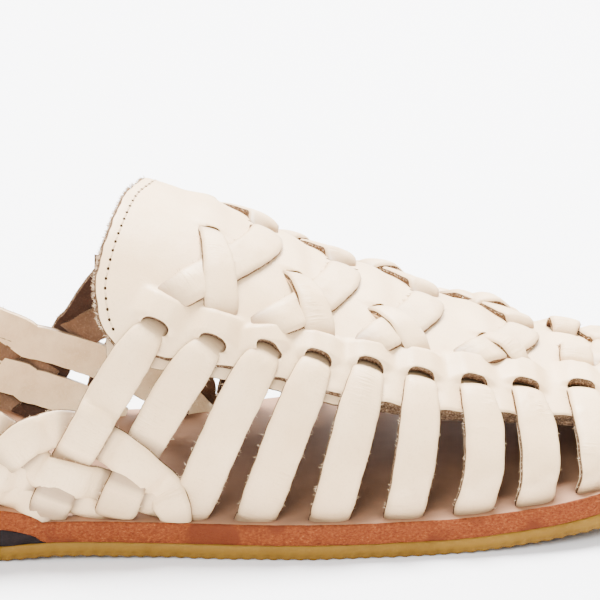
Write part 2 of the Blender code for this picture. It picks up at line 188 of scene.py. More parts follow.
# %% The last
def last(x, t):
    """Inner face of the upper. t is -1 on the outer strap line, 0 on the crest, +1 on the inner one."""
    x, t = np.broadcast_arrays(np.asarray(x, float), np.asarray(t, float))
    side = np.where(t < 0, -1.0, 1.0)
    angle = np.clip(1 - np.abs(t), 0, 1) * math.pi / 2
    rise = np.sin(angle) ** (2 / SQUARENESS)
    across = np.clip(np.cos(angle), 0, 1) ** (2 / SQUARENESS)
    height = crest_height(x) * rise
    shift = crest_shift(x)
    half = reach(x, side, LEDGE)
    y = swing(x) + shift + side * (half - side * shift + swell(height)) * across
    below = np.maximum(np.abs(t) - 1, 0) * INSTEP_HEIGHT
    return np.stack([x, y, footbed(x) + height - below], -1)


def heel_wall(turn, height):
    """The same face round the heel: turn is 0 at the back and negative on the outer side."""
    turn, height = np.broadcast_arrays(np.asarray(turn, float), np.asarray(height, float))
    side = np.where(turn < 0, -1.0, 1.0)
    back, run, step = -LENGTH / 2 + LEDGE, LENGTH / 2, 1e-3

    def foot(angle):
        where = back + run * (1 - np.cos(angle))
        return np.stack([where, swing(where) + np.sign(angle) * reach(where, np.sign(angle), LEDGE)], -1)

    x = back + run * (1 - np.cos(turn))
    ahead = foot(turn + step) - foot(turn - step)
    outward = np.stack([-ahead[..., 1], ahead[..., 0]], -1)
    outward /= np.linalg.norm(outward, axis=-1, keepdims=True)
    high = np.clip(height, 0, None)
    widest = np.where(side < 0, table(OUTLINE, 1, share_at(x)), table(OUTLINE, 2, share_at(x))) * BALL_WIDTH
    flat = widest - LEDGE - side * crest_shift(x)
    lean = (1 - (high / crest_height(x)) ** SQUARENESS) ** (1 / SQUARENESS)
    inset = flat * (1 - lean) - swell(high) * lean
    plan = foot(turn) - outward * inset[..., None]
    return np.concatenate([plan, (footbed(x) + height)[..., None]], -1)


def turn_at(share, side):
    """The angle round the heel that belongs to a share of the length."""
    x = x_at(share)
    return side * math.acos(1 - (x + LENGTH / 2 - LEDGE) / (LENGTH / 2))


def frames(surface, u, v):
    """Points of a surface, its tangents and its outward normal."""
    du, dv = 1e-4, 1e-3
    along = (surface(u + du, v) - surface(u - du, v)) / (2 * du)
    over = (surface(u, v + dv) - surface(u, v - dv)) / (2 * dv)
    normal = np.cross(along, over) * (-1 if surface is heel_wall else 1)
    normal /= np.linalg.norm(normal, axis=-1, keepdims=True)
    return surface(u, v), along, over, normal


def last_at(share, t):
    """One point of the last, at a share of the length, and its normal."""
    point, _, _, normal = frames(last, np.array([x_at(share)]), np.array([t]))
    return point[0], normal[0]


print("crest at the throat", round(float(last(-0.012, 0.0)[2]) * 1000, 1), "mm above the floor")

# %% [markdown]
# The picture was taken close, with a long lens, from the outer side and a little above. So the camera
# stands far back, and its lens is set from how many of the picture's dots a metre takes at the shoe.

# %% Camera
CAMERA_LIFT = math.radians(18.5)      # angle above the floor
CAMERA_TURN = math.radians(4.5)       # angle towards the heel
CAMERA_DISTANCE = 1.35
CAMERA_SEES = 20.0                    # how far it sees, in metres
DOTS_PER_METRE = 4420
PICTURE, SENSOR = 600, 36.0           # the picture's width in dots, the sensor's in millimetres
SOLE_EDGE = Vector((0.021, -0.0465, 0.0))     # a point of the sole's lower edge
SOLE_EDGE_LOW = 260                           # how many dots it lies below the picture's middle


def add_camera():
    level = math.cos(CAMERA_LIFT)
    ahead = Vector((math.sin(CAMERA_TURN) * level, math.cos(CAMERA_TURN) * level, -math.sin(CAMERA_LIFT)))
    right = Vector((math.cos(CAMERA_TURN), -math.sin(CAMERA_TURN), 0.0))
    up = right.cross(ahead)
    focal = DOTS_PER_METRE * CAMERA_DISTANCE
    data = bpy.data.cameras.new("camera")
    data.sensor_width = SENSOR
    data.lens = focal / PICTURE * SENSOR
    data.clip_end = CAMERA_SEES
    camera = bpy.data.objects.new("camera", data)
    bpy.context.scene.collection.objects.link(camera)
    eye = SOLE_EDGE - CAMERA_DISTANCE * (ahead - up * SOLE_EDGE_LOW / focal)
    turn = Matrix((right, up, -ahead)).transposed().to_4x4()
    camera.matrix_world = Matrix.Translation(eye) @ turn
    bpy.context.scene.camera = camera
    return camera


camera = add_camera()
print("lens", round(camera.data.lens), "mm at", [round(v, 3) for v in camera.matrix_world.translation])

# %% [markdown]
# The floor is one big pale sheet. Three soft lamps stand over it: a wide one above, a long one on the
# camera's side, and a weaker one behind that picks out the crest. The world itself gives an even pale light.

# %% Floor and lights
FLOOR_SIZE = 8.0
FLOOR_COLOUR = (0.93, 0.93, 0.95)
FLOOR_ROUGHNESS = 0.9
SKY_COLOUR = (0.97, 0.98, 1.0)
SKY_STRENGTH = 0.95
LAMPS = [      # name, place, size, watts
    ("lamp_above", (0.10, 0.42, 1.05), 0.55, 84.0),
    ("lamp_side", (-0.35, -1.20, 0.85), 0.9, 34.0),
    ("lamp_behind", (0.45, 1.00, 0.70), 0.8, 20.0),
]


def add_floor_and_lights():
    mesh = bpy.data.meshes.new("floor")
    half = FLOOR_SIZE / 2
    corners = [(-half, -half, 0), (half, -half, 0), (half, half, 0), (-half, half, 0)]
    mesh.from_pydata(corners, [], [(0, 1, 2, 3)])
    floor = bpy.data.objects.new("floor", mesh)
    bpy.context.scene.collection.objects.link(floor)
    paint = bpy.data.materials.new("pale_floor")
    paint.use_nodes = True
    shader = paint.node_tree.nodes["Principled BSDF"]
    shader.inputs["Base Color"].default_value = (*FLOOR_COLOUR, 1)
    shader.inputs["Roughness"].default_value = FLOOR_ROUGHNESS
    mesh.materials.append(paint)
    world = bpy.data.worlds.new("studio")
    world.use_nodes = True
    world.node_tree.nodes["Background"].inputs["Color"].default_value = (*SKY_COLOUR, 1)
    world.node_tree.nodes["Background"].inputs["Strength"].default_value = SKY_STRENGTH
    bpy.context.scene.world = world
    for name, place, size, watts in LAMPS:
        data = bpy.data.lights.new(name, "AREA")
        data.shape = "DISK"
        data.size = size
        data.energy = watts
        lamp = bpy.data.objects.new(name, data)
        lamp.location = place
        lamp.rotation_euler = (-Vector(place)).to_track_quat("-Z", "Y").to_euler()
        bpy.context.scene.collection.objects.link(lamp)


add_floor_and_lights()
print("floor", FLOOR_SIZE, "m wide,", len(LAMPS), "lamps")

# %% [markdown]
# Every finish below is built from the same few steps: a noise or cell pattern in the shoe's own metres, a
# ramp that turns it into colours, and a bump that lets light catch it. One small class keeps that short.
# Meshes also carry a "shade" value at each corner. It is painted shade: it darkens the colour where shadow
# falls, at the strips' edges and ends, under crossing strands, round the footbed's slits, under the panel's
# edge and between the sole's teeth.

# %% Helpers for finishes
MM = 0.001
chance = np.random.default_rng(11)


class Finish:
    """A node material being put together."""

    def __init__(self, name, roughness, **sockets):
        self.material = bpy.data.materials.new(name)
        self.material.use_nodes = True
        self.nodes = self.material.node_tree.nodes
        self.links = self.material.node_tree.links
        self.shader = self.nodes["Principled BSDF"]
        self.shader.inputs["Roughness"].default_value = roughness
        for socket, value in sockets.items():
            self.shader.inputs[socket.replace("_", " ")].default_value = value
        self.place = self.nodes.new("ShaderNodeTexCoord").outputs["Object"]
        self.height = None

    def noise(self, size, detail=3.0, stretch=(1, 1, 1), rough=0.6, place=None):
        """Noise whose blotches are about as big as size, in metres."""
        scaled = self.nodes.new("ShaderNodeMapping")
        scaled.inputs["Scale"].default_value = [1 / (size * s) for s in stretch]
        self.links.new(place or self.place, scaled.inputs["Vector"])
        made = self.nodes.new("ShaderNodeTexNoise")
        made.inputs["Scale"].default_value = 1.0
        made.inputs["Detail"].default_value = detail
        made.inputs["Roughness"].default_value = rough
        self.links.new(scaled.outputs[0], made.inputs["Vector"])
        return made.outputs["Fac"]

    def cells(self, size):
        """Distance to the nearest border between cells about as big as size."""
        made = self.nodes.new("ShaderNodeTexVoronoi")
        made.feature = "DISTANCE_TO_EDGE"
        made.inputs["Scale"].default_value = 1 / size
        self.links.new(self.place, made.inputs["Vector"])
        return made.outputs["Distance"]

    def ramp(self, value, *stops):
        """Colours at places along a value from 0 to 1."""
        made = self.nodes.new("ShaderNodeValToRGB")
        for i, (at, colour) in enumerate(stops):
            stop = made.color_ramp.elements[i] if i < 2 else made.color_ramp.elements.new(at)
            stop.position = at
            stop.color = (*colour, 1)
        self.links.new(value, made.inputs["Fac"])
        return made.outputs["Color"]

    def span(self, value, low, high, to_low=0.0, to_high=1.0):
        """A value's stretch from low to high, laid on another stretch and held at its ends."""
        made = self.nodes.new("ShaderNodeMapRange")
        for socket, number in zip(("From Min", "From Max", "To Min", "To Max"), (low, high, to_low, to_high)):
            made.inputs[socket].default_value = number
        self.links.new(value, made.inputs["Value"])
        return made.outputs["Result"]

    def mix(self, first, second, share):
        """Colours or sockets, mixed by a share."""
        made = self.nodes.new("ShaderNodeMix")
        made.data_type = "RGBA"
        for socket, value in ((made.inputs[0], share), (made.inputs[6], first), (made.inputs[7], second)):
            if isinstance(value, bpy.types.NodeSocket):
                self.links.new(value, socket)
            elif isinstance(value, tuple):
                socket.default_value = (*value, 1)
            else:
                socket.default_value = value
        return made.outputs[2]

    def stored(self, name, output="Fac"):
        """A value, or with output Vector a place, that the mesh carries at its corners."""
        made = self.nodes.new("ShaderNodeAttribute")
        made.attribute_name = name
        return made.outputs[output]

    def times(self, first, second):
        made = self.nodes.new("ShaderNodeMath")
        made.operation = "MULTIPLY"
        self.links.new(first, made.inputs[0])
        self.links.new(second, made.inputs[1])
        return made.outputs["Value"]

    def colour(self, value):
        self.links.new(value, self.shader.inputs["Base Color"])

    def shaded(self, tone, dark, most):
        """The tone as colour, mixed towards dark as painted shade where the mesh's shade value says so, by a
        share of most there.
        """
        shade = self.stored("shade")
        self.colour(self.mix(tone, dark, self.span(shade, 0.0, 1.0, 0.0, most)))

    def rough(self, value):
        self.links.new(value, self.shader.inputs["Roughness"])

    def bump(self, value, depth, strength=1.0):
        """Relief as deep as depth, in metres, laid over any relief that is there."""
        made = self.nodes.new("ShaderNodeBump")
        made.inputs["Strength"].default_value = strength
        made.inputs["Distance"].default_value = depth
        self.links.new(value, made.inputs["Height"])
        if self.height:
            self.links.new(self.height, made.inputs["Normal"])
        self.height = made.outputs["Normal"]
        self.links.new(self.height, self.shader.inputs["Normal"])


print("helpers ready")

# %% [markdown]
# The upper is full-grain leather, drum-dyed a pale cream and barely finished: soft grain, fine pores and a
# low waxy shine. Bumps of several sizes give it: wide soft pulls, the pebble of the grain, tight pores, and
# on the strips fine wrinkles that run across them, placed by how far along its strip each point lies.

# %% Cream leather
def make_cream():
    look = Finish("cream_leather_grain", 0.46, Coat_Weight=0.04, Coat_Roughness=0.45, Specular_IOR_Level=0.34)
    tone = look.ramp(look.noise(14 * MM, 4), (0.30, (0.79, 0.535, 0.285)), (0.70, (0.87, 0.620, 0.355)))
    pores = look.span(look.noise(0.55 * MM, 3), 0.30, 0.46)
    speckled = look.mix((0.62, 0.40, 0.22), tone, look.span(pores, 0, 1, 0.72, 1.0))
    # painted shade: the cream is mixed towards dark brown where the mesh's shade value is high
    look.shaded(speckled, (0.09, 0.042, 0.020), 0.90)
    look.rough(look.span(look.noise(5 * MM, 3), 0.3, 0.7, 0.38, 0.54))
    look.bump(look.noise(6.0 * MM, 2), 0.30 * MM, 0.6)
    strip = look.stored("strip_place", "Vector")
    wrinkles = look.noise(1.0 * MM, 4, stretch=(0.55, 4.5, 1.0), rough=0.55, place=strip)
    pulled = look.span(look.noise(8 * MM, 2, stretch=(1.6, 1.0, 1.0), place=strip), 0.46, 0.66)
    look.bump(look.times(wrinkles, pulled), 0.55 * MM, 0.75)
    look.bump(look.cells(0.85 * MM), 0.10 * MM, 0.35)
    look.bump(look.noise(0.38 * MM, 3), 0.07 * MM, 0.5)
    return look.material


cream_grain = make_cream()
print("made", cream_grain.name)

# %% [markdown]
# Where the leather is cut, its fibres show: tan and brown specks in short torn tufts. The back of the hide,
# the flesh side, is a brown nap. On the upper it is made far darker than that, as painted shade for the
# inside of the shoe. Both are rough all through.

# %% Cut edge and flesh side
def make_cut_edge(name, dark, middle, pale):
    look = Finish(name, 0.90, Specular_IOR_Level=0.08)
    fibre = look.noise(0.45 * MM, 5, rough=0.75)
    tone = look.ramp(fibre, (0.32, dark), (0.50, middle), (0.68, pale))
    # painted shade: the cut edge is mixed towards near black where the mesh's shade value is high
    look.shaded(tone, (0.022, 0.012, 0.008), 0.75)
    look.bump(fibre, 0.35 * MM, 0.9)
    return look.material


def make_flesh_side(name, dark, light, tip):
    look = Finish(name, 0.93, Specular_IOR_Level=0.06)
    tone = look.ramp(look.noise(7 * MM, 5), (0.32, dark), (0.68, light))
    nap = look.noise(0.5 * MM, 4)
    look.colour(look.mix(tone, tip, look.span(nap, 0.5, 0.75, 0.0, 0.45)))
    look.bump(nap, 0.22 * MM, 0.7)
    return look.material


cut_edge = make_cut_edge("cream_leather_cut_edge", (0.035, 0.018, 0.010), (0.11, 0.062, 0.034),
                         (0.36, 0.235, 0.135))
pale_edge = make_cut_edge("cream_leather_pale_edge", (0.20, 0.125, 0.07), (0.34, 0.22, 0.125),
                          (0.58, 0.40, 0.24))
# painted shade: the upper's flesh side is near black, standing in for the shade inside the shoe
flesh_in_painted_shade = make_flesh_side("cream_leather_flesh_in_painted_shade", (0.034, 0.017, 0.011), (0.060, 0.031, 0.020),
                             (0.095, 0.055, 0.036))
suede = make_flesh_side("brown_suede_side", (0.11, 0.060, 0.034), (0.20, 0.112, 0.064), (0.32, 0.20, 0.12))
cream_back = make_flesh_side("cream_leather_back", (0.74, 0.52, 0.29), (0.93, 0.70, 0.42), (0.95, 0.76, 0.50))
UPPER_FINISHES = [cream_grain, cut_edge, flesh_in_painted_shade]
GRAIN, CUT, FLESH = 0, 1, 2
print("made", [look.name for look in (cut_edge, pale_edge, flesh_in_painted_shade, suede, cream_back)])

# %% [markdown]
# The footbed is one thick piece of vegetable-tanned leather. Its top is smooth and peach-brown. Its edge was
# sliced and sanded, so it shows the layered fibres of the hide as pale flecks in orange brown.

# %% Footbed leather
def make_footbed_top():
    look = Finish("natural_leather_top", 0.60, Specular_IOR_Level=0.16)
    tone = look.ramp(look.noise(18 * MM, 4), (0.30, (0.235, 0.118, 0.064)), (0.70, (0.330, 0.175, 0.098)))
    # painted shade: the top is mixed towards dark brown round the slits, from the mesh's shade value
    look.shaded(tone, (0.045, 0.018, 0.009), 0.85)
    look.bump(look.noise(2.2 * MM, 4), 0.12 * MM, 0.5)
    look.bump(look.cells(0.6 * MM), 0.06 * MM, 0.3)
    return look.material


def make_footbed_edge():
    look = Finish("natural_leather_edge", 0.82, Specular_IOR_Level=0.08)
    layers = look.noise(0.40 * MM, 5, stretch=(1.7, 1.7, 1.0), rough=0.75)
    tone = look.ramp(layers, (0.30, (0.070, 0.017, 0.006)), (0.50, (0.155, 0.036, 0.011)),
                     (0.64, (0.235, 0.064, 0.019)), (0.78, (0.46, 0.200, 0.085)))
    cloud = look.noise(13 * MM, 2)
    worn = look.mix(tone, (0.105, 0.024, 0.009), look.span(cloud, 0.56, 0.64, 0.0, 0.85))
    # painted shade: mixed towards near black where the mesh's shade value is high
    look.shaded(worn, (0.03, 0.009, 0.004), 0.8)
    look.bump(layers, 0.40 * MM, 0.85)
    return look.material


footbed_top = make_footbed_top()
footbed_edge = make_footbed_edge()
print("made", footbed_top.name, "and", footbed_edge.name)

# %% [markdown]
# The outsole is gum rubber, the honey-coloured kind that lets a little light in. The heel lift is a dark
# foamed rubber with a dull, slightly dusty cut face.

# %% Rubbers
def make_gum():
    look = Finish("gum_rubber_honey", 0.50, Specular_IOR_Level=0.12, Subsurface_Weight=0.04,
                  Subsurface_Radius=(1.0, 0.5, 0.2), Subsurface_Scale=1.2 * MM)
    tone = look.ramp(look.noise(11 * MM, 5), (0.30, (0.135, 0.066, 0.0065)), (0.70, (0.190, 0.098, 0.0120)))
    dust = look.noise(0.9 * MM, 5, rough=0.7)
    dusty = look.mix(tone, (0.22, 0.120, 0.025), look.span(dust, 0.52, 0.75, 0.0, 0.4))
    # painted shade: mixed towards dark brown where the mesh's shade value is high
    look.shaded(dusty, (0.030, 0.012, 0.003), 0.85)
    look.rough(look.span(dust, 0.3, 0.7, 0.42, 0.66))
    look.bump(look.noise(0.7 * MM, 3), 0.10 * MM, 0.5)
    return look.material


def make_dark_rubber():
    look = Finish("dark_rubber_foamed", 0.72, Specular_IOR_Level=0.10)
    tone = look.ramp(look.noise(3.5 * MM, 5), (0.30, (0.005, 0.0032, 0.0032)),
                     (0.72, (0.013, 0.0085, 0.0085)))
    bubbles = look.noise(0.35 * MM, 4, stretch=(1.6, 1.6, 1.0))
    look.colour(look.mix(tone, (0.030, 0.020, 0.019), look.span(bubbles, 0.55, 0.78, 0.0, 0.5)))
    look.bump(bubbles, 0.18 * MM, 0.7)
    return look.material


gum = make_gum()
dark_rubber = make_dark_rubber()
print("made", gum.name, "and", dark_rubber.name)

# %% [markdown]
# Pieces are made as plain lists of points and faces. This helper turns such lists into an object, gives each
# face its finish, smooths the shading up to a corner's angle, and lets the piece ride on the shoe.

# %% Making a piece
def make_piece(name, points, faces, finishes, indices=None, slot=None, shade=None, smooth=40, places=None):
    mesh = bpy.data.meshes.new(name)
    mesh.from_pydata([tuple(p) for p in points], [], [tuple(f) for f in faces])
    for look in finishes:
        mesh.materials.append(look)
    if indices is not None:
        mesh.polygons.foreach_set("material_index", np.asarray(indices, np.int32))
    work = bmesh.new()
    work.from_mesh(mesh)
    if work.calc_volume(signed=True) < 0:
        bmesh.ops.reverse_faces(work, faces=work.faces)
    work.to_mesh(mesh)
    work.free()
    mesh.shade_smooth()
    mesh.set_sharp_from_angle(angle=math.radians(smooth))
    if shade is not None:
        layer = mesh.attributes.new("shade", "FLOAT", "POINT")
        layer.data.foreach_set("value", np.asarray(shade, np.float32))
    if places is not None:
        layer = mesh.attributes.new("strip_place", "FLOAT_VECTOR", "POINT")
        layer.data.foreach_set("vector", np.asarray(places, np.float32).ravel())
    thing = bpy.data.objects.new(name, mesh)
    bpy.context.scene.collection.objects.link(thing)
    if slot:
        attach(thing, "root")
    return thing


def tube_faces(count, sides, first=0):
    """Faces through rings of equal count, with the ends shut."""
    faces = []
    for i in range(count - 1):
        for j in range(sides):
            k = (j + 1) % sides
            faces.append((first + i * sides + j, first + i * sides + k,
                          first + (i + 1) * sides + k, first + (i + 1) * sides + j))
    faces.append(tuple(first + j for j in reversed(range(sides))))
    faces.append(tuple(first + (count - 1) * sides + j for j in range(sides)))
    return faces


def corners_of(piece):
    return np.array([v.co for v in piece.data.vertices])


print("ready to make pieces")

# %% [markdown]
# The three layers of the sole share one outline, so one function makes them all: rings of points across the
# sole, heel to toe. Each ring runs over the top, round the edge and back along the bottom. The edge is not
# perfect on a hand-cut shoe, so slow and fast ripples move it by a few tenths of a millimetre.

# %% Layers of the sole
FINE_RIPPLES = (2.3 * MM, 3.7 * MM)
MOST_INSET, LEAST_HALF = 0.4, 0.3      # limits at the sole's narrow ends, shares of the half width


def ripples(places, waves, depth, generator):
    """Smooth irregular ripples: a sum of sine waves of the lengths in waves."""
    places = np.asarray(places, float)
    total = np.zeros_like(places)
    for length in waves:
        phase = generator.uniform(0, 6.3)
        total += np.sin(places / length * 2 * math.pi + phase) * generator.uniform(0.6, 1.0)
    return total * depth / len(waves)


def along_sole(first, final, count, tight=0.65):
    """Places along the sole, closer together at its rounded ends."""
    u = np.linspace(0, 1, count)
    share = between(u, (1 - np.cos(math.pi * u)) / 2, tight)
    return first + (final - first) * share


def sole_layer(name, low, high, xs, columns, edge_profile, finishes, slot, replaced, waves, depth,
               relief=None, tread=None):
    """edge_profile: (how far in from the outline, height as a share of the layer) from top to bottom."""
    generator = np.random.default_rng(len(name))
    steps = np.linspace(0, 1, columns + 1)[1:-1]
    wave = {side: ripples(xs, waves, depth, generator) for side in (-1, 1)}
    fine = {side: [ripples(xs, FINE_RIPPLES, 0.35 * depth, generator) for _ in edge_profile]
            for side in (-1, 1)}
    points = []
    for i, x in enumerate(xs):
        bottom, top = float(low(x)), float(high(x))
        rims = {}
        for side in (-1, 1):
            half = float(reach(x, side))
            rims[side] = []
            for k, (inset, height) in enumerate(edge_profile):
                out = half - min(inset, half * MOST_INSET) + wave[side][i] + fine[side][k][i]
                out = max(out, half * LEAST_HALF)
                rims[side].append((x, swing(x) + side * out, between(bottom, top, height)))
        left, right = rims[-1], rims[1]
        over = [(x, between(left[0][1], right[0][1], u), top) for u in steps]
        under = [(x, between(right[-1][1], left[-1][1], u), bottom) for u in steps]
        ring = over + right + under + left[::-1]
        points += ring
    points = np.array(points, float)
    sides = len(ring)
    ring_parts = ["top"] * (columns - 1) + ["edge"] * len(edge_profile) + ["bottom"] * (columns - 1)
    ring_parts += ["edge"] * len(edge_profile)
    part = np.array(ring_parts * len(xs))
    if relief is not None:
        points[part == "top"] = relief(points[part == "top"])
    if tread is not None:
        points[part == "bottom"] = tread(points[part == "bottom"])
    faces = tube_faces(len(xs), sides)
    indices = []
    for face in faces:
        kinds = {ring_parts[corner % sides] for corner in face}
        indices.append(0 if "top" in kinds and "bottom" not in kinds else len(finishes) - 1)
    piece = make_piece(name, points, faces, finishes, indices, slot, np.zeros(len(points)), 50)
    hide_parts(replaced)
    return piece


END = LENGTH / 2 - 0.2 * MM
print("each layer of the sole can reach", round(END * 1000, 1), "mm either way from the middle")

# %% [markdown]
# First the outsole. Its lower edge carries the mould's fine serration, about 3 mm from tooth to tooth, and
# its underside a shallow wavy tread cut into the rubber, so the flat that it stands on stays flat.

# %% Outsole
SERRATION = 3.0 * MM
TREAD_PITCH = 5.2 * MM
TREAD_DEPTH = 0.9 * MM
TREAD_RIM = 4.5 * MM       # plain rim left round the tread
TREAD_SLOPE = 1.2 * MM     # how gently the tread begins inside that rim
TREAD_SWAY, SWAY_PITCH = 2.2 * MM, 7.5 * MM      # how far its waves wander, and how often across
WAIST, WAIST_FADE = (0.36, 0.50), 0.03           # plain stretch under the arch, shares of length
TOOTH_UP, TOOTH_IN = 0.11 * MM, 0.12 * MM        # a tooth of the serration
TOOTH_BAND, TOOTH_LOW = 1.0 * MM, 0.33           # from the outline inwards, and up as a share of the rubber
OUTSOLE_EDGE = [(0.5 * MM, 1.0), (0.12 * MM, 0.93), (0.0, 0.72), (0.0, 0.46), (0.10 * MM, 0.30), (0.0, 0.16),
                (0.22 * MM, 0.04), (0.6 * MM, 0.0)]


def cut_tread(points):
    x, y = points[:, 0], points[:, 1]
    side = np.where(y < swing(x), -1.0, 1.0)
    inside = reach(x, side) - np.abs(y - swing(x))
    ends = LENGTH / 2 - np.abs(x)
    room = ease((np.minimum(inside, ends * 0.8) - TREAD_RIM) / TREAD_SLOPE)
    wave = np.cos((x + TREAD_SWAY * np.sin(y / SWAY_PITCH * math.pi)) / TREAD_PITCH * 2 * math.pi)
    share = share_at(x)
    waist = ease((share - WAIST[0]) / WAIST_FADE) * (1 - ease((share - WAIST[1]) / WAIST_FADE))
    points = points.copy()
    points[:, 2] += TREAD_DEPTH * room * ease((wave + 0.15) / 0.5) * (1 - waist)
    return points


def serrate(piece):
    """Cuts small teeth into the lower half of the rubber's edge."""
    mesh = piece.data
    places = corners_of(piece)
    x, y = places[:, 0], places[:, 1]
    side = np.where(y < swing(x), -1.0, 1.0)
    rim = reach(x, side) - np.abs(y - swing(x)) < TOOTH_BAND
    low = (places[:, 2] - ground(x)) < TOOTH_LOW * RUBBER
    run = np.where(rim & low, np.cos(x / SERRATION * 2 * math.pi), 1.0)
    places[:, 2] += TOOTH_UP * (1 - run)
    places[:, 1] -= side * TOOTH_IN * (1 - run)
    mesh.vertices.foreach_set("co", places.astype(np.float32).ravel())
    # painted shade in the grooves between the serration's teeth
    layer = mesh.attributes["shade"]
    layer.data.foreach_set("value", np.where(rim & low, 0.06 + 0.08 * (1 - run), 0.0).astype(np.float32))
    mesh.update()


outsole = sole_layer("gum_outsole", ground, lambda x: ground(x) + RUBBER, along_sole(-END, END, 420, 0.4), 60,
                     OUTSOLE_EDGE, [gum], "gum_rubber", "outsole", (21 * MM, 9 * MM, 47 * MM), 0.30 * MM,
                     tread=cut_tread)
serrate(outsole)
print("outsole", len(outsole.data.polygons), "faces")

# %% [markdown]
# Next the dark lift under the heel. It thins to nothing in front of the arch in a full, convex curve.

# %% Heel lift
WEDGE_EDGE = [(0.5 * MM, 1.0), (0.25 * MM, 0.90), (0.15 * MM, 0.66), (0.22 * MM, 0.40), (0.15 * MM, 0.14),
              (0.5 * MM, 0.0)]
wedge_tip = float(x_at(WEDGE[-2][0]))
lift = sole_layer("heel_lift", lambda x: ground(x) + RUBBER - 0.05 * MM,
                  lambda x: ground(x) + RUBBER + max(float(wedge(x)), 0.15 * MM) + 0.05 * MM,
                  along_sole(-END, wedge_tip, 110, 0.5), 24, WEDGE_EDGE, [dark_rubber], "dark_rubber",
                  "heel_wedge", (17 * MM, 6 * MM), 0.22 * MM)
print("heel lift", len(lift.data.polygons), "faces, tip at", round(wedge_tip * 1000), "mm")

# %% [markdown]
# The footbed takes the foot's weight, so it is pressed in a little under the heel and the ball. Round each
# slit that a strap is pulled through, its surface dips, because the strap drags it down, and it is darkened
# with painted shade.

# %% Side straps' places
# share of length and place across of each slot, share of length of the strap's foot, bow forward between them
STRAPS = [
    (0.457, 0.555, 0.355, 0.000), (0.508, 0.562, 0.416, -0.003), (0.557, 0.531, 0.484, 0.000),
    (0.601, 0.502, 0.544, 0.001), (0.648, 0.480, 0.609, 0.000), (0.694, 0.466, 0.675, 0.003),
    (0.743, 0.437, 0.737, 0.009), (0.791, 0.397, 0.793, 0.007), (0.845, 0.352, 0.848, 0.006),
    (0.893, 0.260, 0.902, 0.003), (0.925, 0.170, 0.944, 0.000),
]
WOVEN_STRAPS = (1, 2)      # these pass through the woven quarter
strap_feet = []
for side in (-1, 1):
    for row in STRAPS:
        strap_feet.append(last(x_at(row[2]), side * 1.0))
strap_feet = np.array(strap_feet)
print(len(strap_feet), "slits in the footbed")

# %% [markdown]
# The dips are soft bells, as wide as a strap along the sole and narrow across it.

# %% Footbed
DIP = 0.7 * MM
SLIT_LONG, SLIT_SHORT = 4.6 * MM, 2.6 * MM      # reach of a dip along and across the sole
SLIT_SHADE, SLIT_DEPTH = 0.75, 2.2 * MM         # how dark it is, and how far down its shade reaches
HEEL_PRINT, BALL_PRINT = (-0.088, 0.0, 0.9 * MM, 0.026), (0.052, 0.006, 0.7 * MM, 0.032)
MIDSOLE_EDGE = [(0.55 * MM, 1.0), (0.16 * MM, 0.965), (0.0, 0.86), (0.05 * MM, 0.70), (0.0, 0.54),
                (0.06 * MM, 0.38), (0.02 * MM, 0.22), (0.10 * MM, 0.08), (0.35 * MM, 0.0)]


def slit_pull(x, y):
    """How strongly the nearest strap drags the footbed at a place, from 0 to 1."""
    pull = np.zeros_like(x)
    for foot in strap_feet:
        along, across = (x - foot[0]) / SLIT_LONG, (y - foot[1]) / SLIT_SHORT
        pull = np.maximum(pull, np.exp(-(along**4 + across**2)))
    return pull


def press_footbed(points):
    x, y = points[:, 0], points[:, 1]
    points = points.copy()
    points[:, 2] -= DIP * slit_pull(x, y)
    for px, py, depth, size in (HEEL_PRINT, BALL_PRINT):
        points[:, 2] -= depth * np.exp(-(((x - px) / size) ** 2 + ((y - py) / (0.75 * size)) ** 2))
    return points


def midsole_low(x):
    return ground(x) + RUBBER + max(float(wedge(x)), 0.0)


footbed_piece = sole_layer("leather_footbed", midsole_low, footbed, along_sole(-END, END, 380, 0.4), 64,
                           MIDSOLE_EDGE, [footbed_top, footbed_edge], "natural_leather", "midsole",
                           (23 * MM, 8 * MM, 61 * MM), 0.28 * MM, relief=press_footbed)
places = corners_of(footbed_piece)
# painted shade: the footbed's top is darkened round each slit, as strongly as the strap pulls it down there
on_top = places[:, 2] > footbed(places[:, 0]) - SLIT_DEPTH
pulled = np.where(on_top, slit_pull(places[:, 0], places[:, 1]), 0.0)
footbed_piece.data.attributes["shade"].data.foreach_set("value", (SLIT_SHADE * pulled).astype(np.float32))
print("footbed", len(footbed_piece.data.polygons), "faces")

# %% [markdown]
# Every strap follows a path, given as a few rows of places and a height. A smooth curve goes through the
# rows and is then read again at even steps, so that all strips get points of the same spacing.

# %% Paths
SAMPLE = 1.15 * MM
CURVE_STEPS = 14      # steps of the curve between two rows


def curve_through(rows):
    """Smooth curve through the rows of a table."""
    rows = np.array(rows, float)
    ends = np.vstack([2 * rows[0] - rows[1], rows, 2 * rows[-1] - rows[-2]])
    points = []
    for i in range(len(rows) - 1):
        a, b, c, d = ends[i:i + 4]
        for u in np.arange(CURVE_STEPS) / CURVE_STEPS:
            points.append(0.5 * (2 * b + (c - a) * u + (2 * a - 5 * b + 4 * c - d) * u**2
                                 + (3 * b - a - 3 * c + d) * u**3))
    points.append(rows[-1])
    return np.array(points)


def unit(vectors):
    return vectors / np.maximum(np.linalg.norm(vectors, axis=-1, keepdims=True), 1e-12)


def run_along(points):
    """Distance of each point of a line from its first one, along the line."""
    return np.concatenate([[0], np.cumsum(np.linalg.norm(np.diff(points, axis=0), axis=1))])


def evenly(rows, places):
    """The same rows, read at equal distances along the places they stand for."""
    run = run_along(places)
    count = max(int(round(run[-1] / SAMPLE)), 4) + 1
    wanted = np.linspace(0, run[-1], count)
    return np.stack([np.interp(wanted, run, rows[:, k]) for k in range(rows.shape[1])], 1), wanted


